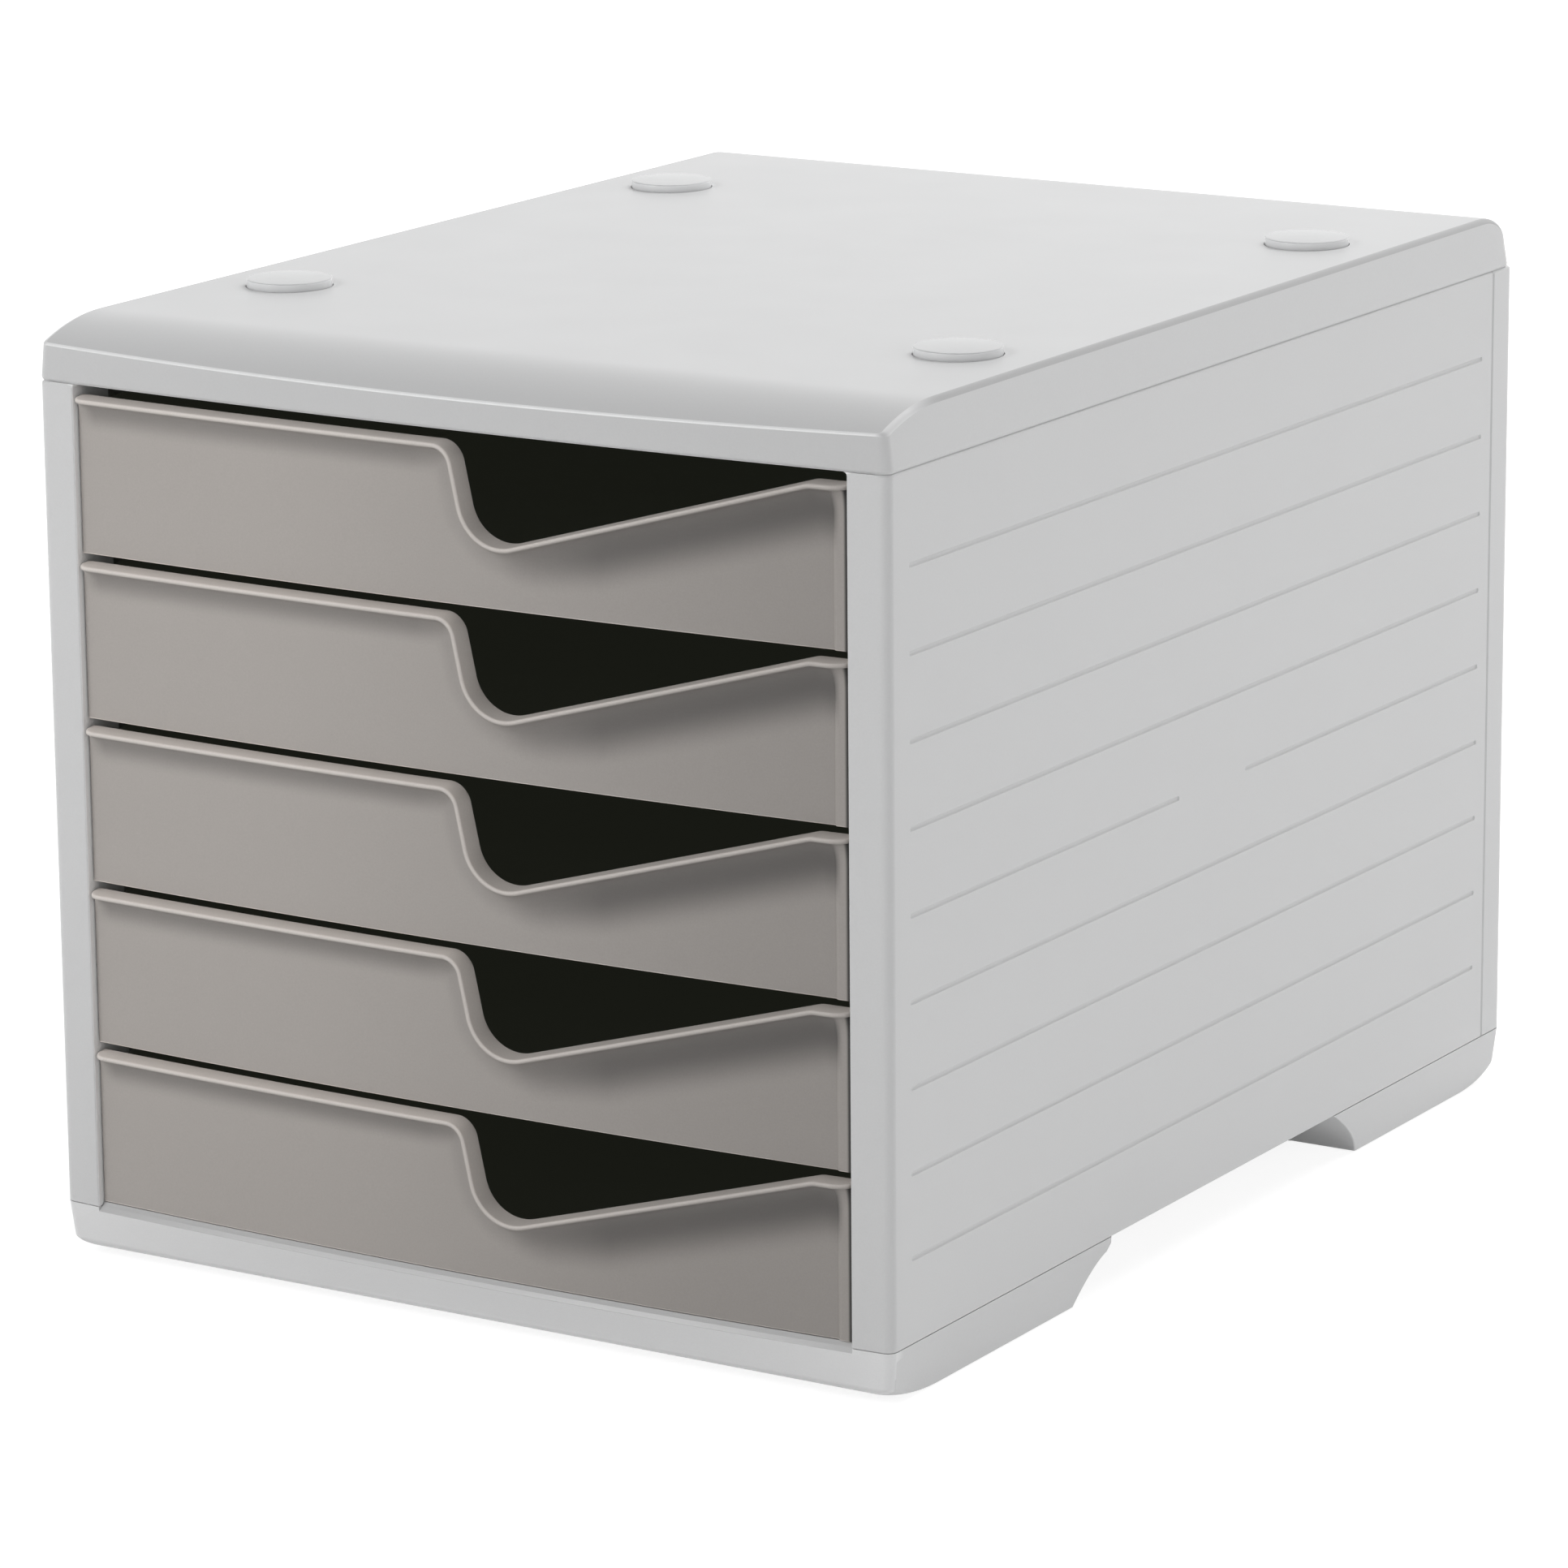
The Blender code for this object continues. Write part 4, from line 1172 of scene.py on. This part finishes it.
# Painted glow of the trays, which stands in for light inside the case; they are no lamps
PAINTED_INSIDE_GLOW = (0.0075, 0.0080, 0.0058)


def disc_finish(colours, name):
    """Milky clear plastic, glossy, with faint flow marks."""
    material, shader, _ = satin_plastic(
        name, colours.disc, colours.disc_roughness,
        grain=0.006, grain_height=0.00003, mottle=0.03,
    )
    shader.inputs["Transmission Weight"].default_value = colours.disc_clearness
    shader.inputs["IOR"].default_value = CLEAR_PLASTIC_IOR
    return material


CLEAR_PLASTIC_IOR = 1.49


def pad_finish(colours, name):
    return satin_plastic(
        name, colours.pad, colours.pad_roughness,
        grain=0.0005, grain_height=0.00006, mottle=0.10,
    )[0]


FINISHES = {
    "casing grey": casing_finish,
    "front taupe": front_finish,
    "tray black": tray_finish,
    "disc clear": disc_finish,
    "pad rubber": pad_finish,
}


# Operators


class BuildCover(bpy.types.Operator):
    """Builds the cover with its nose, rounded rear and disc seats"""

    bl_idname = "file_drawer.cover"
    bl_label = "Cover"

    def execute(self, context):
        scene = context.scene
        rings, marks = cover_rings(scene.drawer_casing, scene.drawer_cover)
        seats = mesh_of("disc seats", disc_seats(scene.drawer_cover, scene.drawer_rounds))
        mesh = cut(mesh_of("cover", [rings], [marks]), seats)
        add_piece(context, "cover", mesh, "casing grey", "top_cover")
        return {"FINISHED"}


class BuildBase(bpy.types.Operator):
    """Builds the base with its two feet and the arch between them"""

    bl_idname = "file_drawer.base"
    bl_label = "Base"

    def execute(self, context):
        case = context.scene.drawer_casing
        base = context.scene.drawer_base
        front_foot, front_marks = foot_rings(case, base, True)
        rear_foot, rear_marks = foot_rings(case, base, False)
        shells = [front_foot, rear_foot, floor_plate(case, base), sill(case, base)]
        # The sill is painted darker, as shade, with the bevel's share
        mesh = mesh_of("base", shells, [front_marks, rear_marks, 0, PAINTED_BEVEL_SHADE])
        add_piece(context, "base", mesh, "casing grey", "base_tray")
        return {"FINISHED"}


class BuildSideWalls(bpy.types.Operator):
    """Builds both side walls with their columns, pressed lines and drawer ledges"""

    bl_idname = "file_drawer.side_walls"
    bl_label = "Side walls"

    def execute(self, context):
        case = context.scene.drawer_casing
        wall = side_wall_rings(case)
        shells = [wall]
        for number in range(1, DRAWER_COUNT + 1):
            low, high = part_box(f"drawer_tray_{number}")
            shells.append(ledge_shells(case, context.scene.drawer_trays, low, high))
        # The column's inner side face is painted lighter, as painted light
        inner_edge = wall[..., 0] < HALF_WIDTH - case.column + BREAK
        marks = [PAINTED_INNER_EDGE_LIGHT * inner_edge] + [0] * DRAWER_COUNT
        for name, side in (("left", -1), ("right", 1)):
            mesh = mesh_of(f"{name} wall", [shell * (side, 1, 1) for shell in shells], marks)
            add_piece(context, f"{name}_wall", mesh, "casing grey", f"{name}_side_wall")
        return {"FINISHED"}


class BuildBack(bpy.types.Operator):
    """Builds the back panel"""

    bl_idname = "file_drawer.back"
    bl_label = "Back panel"

    def execute(self, context):
        mesh = mesh_of("back", [back_rings(context.scene.drawer_casing)])
        add_piece(context, "back", mesh, "casing grey", "back_panel")
        return {"FINISHED"}


class BuildFronts(bpy.types.Operator):
    """Builds the drawer fronts with their lips and finger cuts"""

    bl_idname = "file_drawer.fronts"
    bl_label = "Drawer fronts"

    def execute(self, context):
        scene = context.scene
        for number in range(1, DRAWER_COUNT + 1):
            node = f"drawer_front_{number}"
            rings, marks = front_rings(scene.drawer_casing, scene.drawer_fronts, *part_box(node))
            mesh = mesh_of(f"front {number}", [rings], [marks])
            add_piece(context, f"front_{number}", mesh, "front taupe", node, f"drawer_{number}")
        return {"FINISHED"}


class BuildTrays(bpy.types.Operator):
    """Builds the drawer trays"""

    bl_idname = "file_drawer.trays"
    bl_label = "Drawer trays"

    def execute(self, context):
        scene = context.scene
        case = scene.drawer_casing
        tray = scene.drawer_trays
        for number in range(1, DRAWER_COUNT + 1):
            node = f"drawer_tray_{number}"
            low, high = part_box(node)
            front_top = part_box(f"drawer_front_{number}")[1].z - scene.drawer_fronts.cut_depth
            shells = [tray_rings(case, tray, low, high, front_top), *lug_shells(case, tray, low)]
            mesh = mesh_of(f"tray {number}", shells)
            add_piece(context, f"tray_{number}", mesh, "tray black", node, f"drawer_{number}")
        return {"FINISHED"}


class BuildDiscs(bpy.types.Operator):
    """Builds the domed discs on the cover"""

    bl_idname = "file_drawer.discs"
    bl_label = "Stacking discs"

    def execute(self, context):
        rounds = context.scene.drawer_rounds
        for number in range(1, CORNER_COUNT + 1):
            node = f"stacking_disc_{number}"
            low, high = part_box(node)
            profile = disc_profile(rounds, low, high)
            # Painted shade and painted highlight on the disc's wall
            marks = disc_painted_light_and_tone(rounds, profile)[:, None]
            mesh = mesh_of(f"disc {number}", [turned((low + high) / 2, profile)], [marks])
            add_piece(context, f"disc_{number}", mesh, "disc clear", node)
        return {"FINISHED"}


class BuildPads(bpy.types.Operator):
    """Builds the pads under the feet"""

    bl_idname = "file_drawer.pads"
    bl_label = "Foot pads"

    def execute(self, context):
        rounds = context.scene.drawer_rounds
        for number in range(1, CORNER_COUNT + 1):
            node = f"foot_pad_{number}"
            low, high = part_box(node)
            profile = pad_profile(rounds, low, high)
            mesh = mesh_of(f"pad {number}", [turned((low + high) / 2, profile)])
            add_piece(context, f"pad_{number}", mesh, "pad rubber", node)
        return {"FINISHED"}


class BuildStudio(bpy.types.Operator):
    """Sets up the floor, the soft light and the camera"""

    bl_idname = "file_drawer.studio"
    bl_label = "Studio"

    def execute(self, context):
        settings = context.scene.drawer_studio
        add_floor(context.scene, settings)
        add_world(context.scene, settings)
        add_lamps(context.scene, settings)
        add_camera(context.scene, settings)
        context.scene.view_settings.view_transform = "Standard"
        return {"FINISHED"}


# Discs and pads


def disc_profile(rounds, low, high):
    """Half the section of a disc: its wall, a small round edge and a dome.

    The dome's height over the edge falls with the square of the distance from the middle.
    """
    edge = rounds.disc_edge
    radius = (high.x - low.x) / 2 - edge
    shoulder = COVER_HIGH_Z + rounds.disc_wall
    rise = high.z - shoulder
    rounding = (radius + edge * np.cos(QUARTER_TURN), shoulder - edge * (1 - np.sin(QUARTER_TURN)))
    dome = (radius * DOME_SHARES, shoulder + rise * (1 - DOME_SHARES**2))
    foot = ((radius + edge, low.z),)
    return np.concatenate((foot, np.column_stack(rounding), np.column_stack(dome)))


def disc_painted_light_and_tone(rounds, profile):
    """A disc's wall is painted darkest at its foot, as painted shade, and lightest at its upper
    edge, as a painted highlight; its dome is a touch darker.
    """
    edge = COVER_HIGH_Z + rounds.disc_wall - rounds.disc_edge / 2
    wall = np.interp(profile[:, 1], (COVER_HIGH_Z, edge), (PAINTED_DISC_FOOT_SHADE, PAINTED_DISC_EDGE_HIGHLIGHT))
    return np.where(profile[:, 1] <= edge, wall, DISC_DOME_MARK)


DOME_SHARES = np.linspace(1, 0.02, 24)[1:]
# Shares of painted shade at a disc's foot and of a painted highlight at its upper edge; the dome is
# a touch darker
PAINTED_DISC_FOOT_SHADE = -0.05
PAINTED_DISC_EDGE_HIGHLIGHT = 0.30
DISC_DOME_MARK = -0.07


def pad_profile(rounds, low, high):
    """Half the section of a pad: a small round lower edge and its wall."""
    edge = rounds.pad_edge
    radius = (high.x - low.x) / 2
    x = radius - edge * (1 - np.sin(QUARTER_TURN))
    z = low.z + edge * (1 - np.cos(QUARTER_TURN))
    return np.concatenate((np.column_stack((x, z)), ((radius, high.z),)))


# Studio


def seen_by(tree, path, *rays):
    """A value that is 1 for any of the kinds of ray: the largest of their values."""
    value = path.outputs[rays[0]]
    for ray in rays[1:]:
        larger = add_node(tree, "Math", operation="MAXIMUM")
        join(tree, (value, larger.inputs[0]), (path.outputs[ray], larger.inputs[1]))
        value = larger.outputs["Value"]
    return value


def chosen(tree, factor, first, second):
    """The first shader where the factor is 0 and the second where it is 1."""
    mix = add_node(tree, "MixShader")
    join(tree, (factor, mix.inputs["Fac"]), (first, mix.inputs[1]), (second, mix.inputs[2]))
    return mix.outputs["Shader"]


def add_floor(scene, settings):
    """A pale floor that reads as white where no shadow falls, and everywhere further out."""
    mesh = bpy.data.meshes.new("floor")
    corners = np.array(((-1, -1, 0), (1, -1, 0), (1, 1, 0), (-1, 1, 0))) * settings.floor_radius
    mesh.from_pydata(corners.tolist(), [], [(0, 1, 2, 3)])
    floor = bpy.data.objects.new("floor", mesh)
    scene.collection.objects.link(floor)
    material, shader = new_material("floor", FLOOR_COLOUR, FLOOR_ROUGHNESS)
    shader.inputs["Specular IOR Level"].default_value = 0
    tree = material.node_tree
    distance = add_node(tree, "VectorMath", operation="LENGTH")
    join(tree, (add_node(tree, "TexCoord").outputs["Object"], distance.inputs["Vector"]))
    glow = add_node(tree, "Emission")
    whiter = ramp(tree, distance.outputs["Value"], GLOW_START, GLOW_END, FLOOR_GLOW, 1)
    dimmed = add_node(tree, "BsdfDiffuse", {"Color": (FLOOR_SHADE, FLOOR_SHADE, FLOOR_SHADE, 1)})
    veil = add_node(tree, "AddShader")
    join(
        tree,
        (whiter, glow.inputs["Strength"]),
        (glow.outputs["Emission"], veil.inputs[0]),
        (dimmed.outputs["BSDF"], veil.inputs[1]),
    )
    path = add_node(tree, "LightPath")
    seen = seen_by(tree, path, "Is Camera Ray", "Is Glossy Ray", "Is Transmission Ray")
    surface = chosen(tree, seen, shader.outputs["BSDF"], veil.outputs["Shader"])
    join(tree, (surface, tree.nodes["Material Output"].inputs["Surface"]))
    mesh.materials.append(material)


FLOOR_COLOUR = (0.8, 0.8, 0.8)
FLOOR_ROUGHNESS = 0.9
FLOOR_SHADE = 0.30
FLOOR_GLOW = 0.86
GLOW_START = 0.5
GLOW_END = 1.8


def add_world(scene, settings):
    """White where it is seen; its light is strongest near the horizon and weak overhead."""
    world = bpy.data.worlds.new("studio")
    world.use_nodes = True
    tree = world.node_tree
    split = add_node(tree, "SeparateXYZ")
    join(tree, (add_node(tree, "TexCoord").outputs["Generated"], split.inputs["Vector"]))

    def sky(horizon, zenith):
        shade = add_node(tree, "Background", {"Color": (1, 1, 1, 1)})
        fall = ramp(tree, split.outputs["Z"], SKY_LOW, SKY_HIGH, horizon, zenith)
        join(tree, (fall, shade.inputs["Strength"]))
        return shade.outputs["Background"]

    soft = sky(settings.horizon, settings.zenith)
    gloss = sky(1, settings.gloss_zenith)
    white = tree.nodes["Background"]
    white.inputs["Color"].default_value = (1, 1, 1, 1)
    white.inputs["Strength"].default_value = 1
    path = add_node(tree, "LightPath")
    shown = seen_by(tree, path, "Is Camera Ray", "Is Transmission Ray")
    light = chosen(tree, path.outputs["Is Glossy Ray"], soft, gloss)
    surface = chosen(tree, shown, light, white.outputs["Background"])
    join(tree, (surface, tree.nodes["World Output"].inputs["Surface"]))
    scene.world = world


SKY_LOW = 0.26
SKY_HIGH = 0.62


def facing(azimuth, elevation):
    """The unit vector towards an azimuth, counted from the front, and an elevation."""
    level = np.cos(elevation)
    return np.array((np.sin(azimuth) * level, -np.cos(azimuth) * level, np.sin(elevation)))


def add_lamps(scene, settings):
    """Square soft lamps round the middle of the object, which they face."""
    middle = Vector((0, 0, COVER_HIGH_Z / 2))
    for name, (azimuth, elevation, size) in LAMPS.items():
        light = bpy.data.lights.new(f"{name} lamp", "AREA")
        light.shape = "SQUARE"
        light.size = size
        light.energy = getattr(settings, name)
        lamp = bpy.data.objects.new(f"{name} lamp", light)
        scene.collection.objects.link(lamp)
        place = Vector(facing(*np.radians((azimuth, elevation))) * LAMP_DISTANCE) + middle
        lamp.location = place
        lamp.rotation_mode = "QUATERNION"
        lamp.rotation_quaternion = (middle - place).to_track_quat("-Z", "Y")
        lamp.visible_glossy = name != "rear"


LAMP_DISTANCE = 2.2
# Each lamp's azimuth and elevation in degrees and its width
LAMPS = {"front": (-30, 32, 0.8), "side": (92, 22, 1.2), "rear": (172, 48, 1.6)}


def add_camera(scene, settings):
    """The camera at the photograph's angle.

    It stands at its distance from the aim along azimuth and elevation, rolled, then moved in
    its own plane.
    """
    back = facing(settings.azimuth, settings.elevation)
    level = np.cross(-back, (0, 0, 1))
    level /= np.linalg.norm(level)
    lift = np.cross(level, -back)
    right = level * np.cos(settings.roll) + lift * np.sin(settings.roll)
    up = lift * np.cos(settings.roll) - level * np.sin(settings.roll)
    middle_y = REAR_Y - scene.drawer_casing.depth / 2
    aim = np.array((0, middle_y, settings.aim_height))
    place = aim + back * settings.distance - right * settings.aim_left - up * settings.aim_down
    data = bpy.data.cameras.new("camera")
    data.lens = settings.focal_pixels * data.sensor_width / IMAGE_SIZE
    camera = bpy.data.objects.new("camera", data)
    scene.collection.objects.link(camera)
    turn = Matrix(np.column_stack((right, up, back)).tolist())
    camera.rotation_mode = "QUATERNION"
    camera.rotation_quaternion = turn.to_quaternion()
    camera.location = place
    scene.camera = camera


class FileDrawerPanel(bpy.types.Panel):
    """Lists the steps that build the file drawer"""

    bl_idname = "VIEW3D_PT_file_drawer"
    bl_label = "File Drawer"
    bl_space_type = "VIEW_3D"
    bl_region_type = "UI"
    bl_category = "File Drawer"

    def draw(self, context):
        for operator in OPERATORS:
            self.layout.operator(operator.bl_idname)


GROUPS = {
    "drawer_casing": CasingSizes,
    "drawer_cover": CoverSizes,
    "drawer_base": BaseSizes,
    "drawer_fronts": FrontSizes,
    "drawer_trays": TraySizes,
    "drawer_rounds": RoundSizes,
    "drawer_colours": FinishColours,
    "drawer_studio": StudioSettings,
}
OPERATORS = (
    BuildCover, BuildBase, BuildSideWalls, BuildBack, BuildFronts,
    BuildTrays, BuildDiscs, BuildPads, BuildStudio,
)
CLASSES = (*GROUPS.values(), *OPERATORS, FileDrawerPanel)


def register():
    for item in CLASSES:
        bpy.utils.register_class(item)
    for name, group in GROUPS.items():
        setattr(bpy.types.Scene, name, PointerProperty(type=group))


def unregister():
    for name in GROUPS:
        delattr(bpy.types.Scene, name)
    for item in reversed(CLASSES):
        bpy.utils.unregister_class(item)


def main():
    register()
    bpy.ops.file_drawer.cover()
    bpy.ops.file_drawer.base()
    bpy.ops.file_drawer.side_walls()
    bpy.ops.file_drawer.back()
    bpy.ops.file_drawer.fronts()
    bpy.ops.file_drawer.trays()
    bpy.ops.file_drawer.discs()
    bpy.ops.file_drawer.pads()
    bpy.ops.file_drawer.studio()


if __name__ == "__main__":
    main()
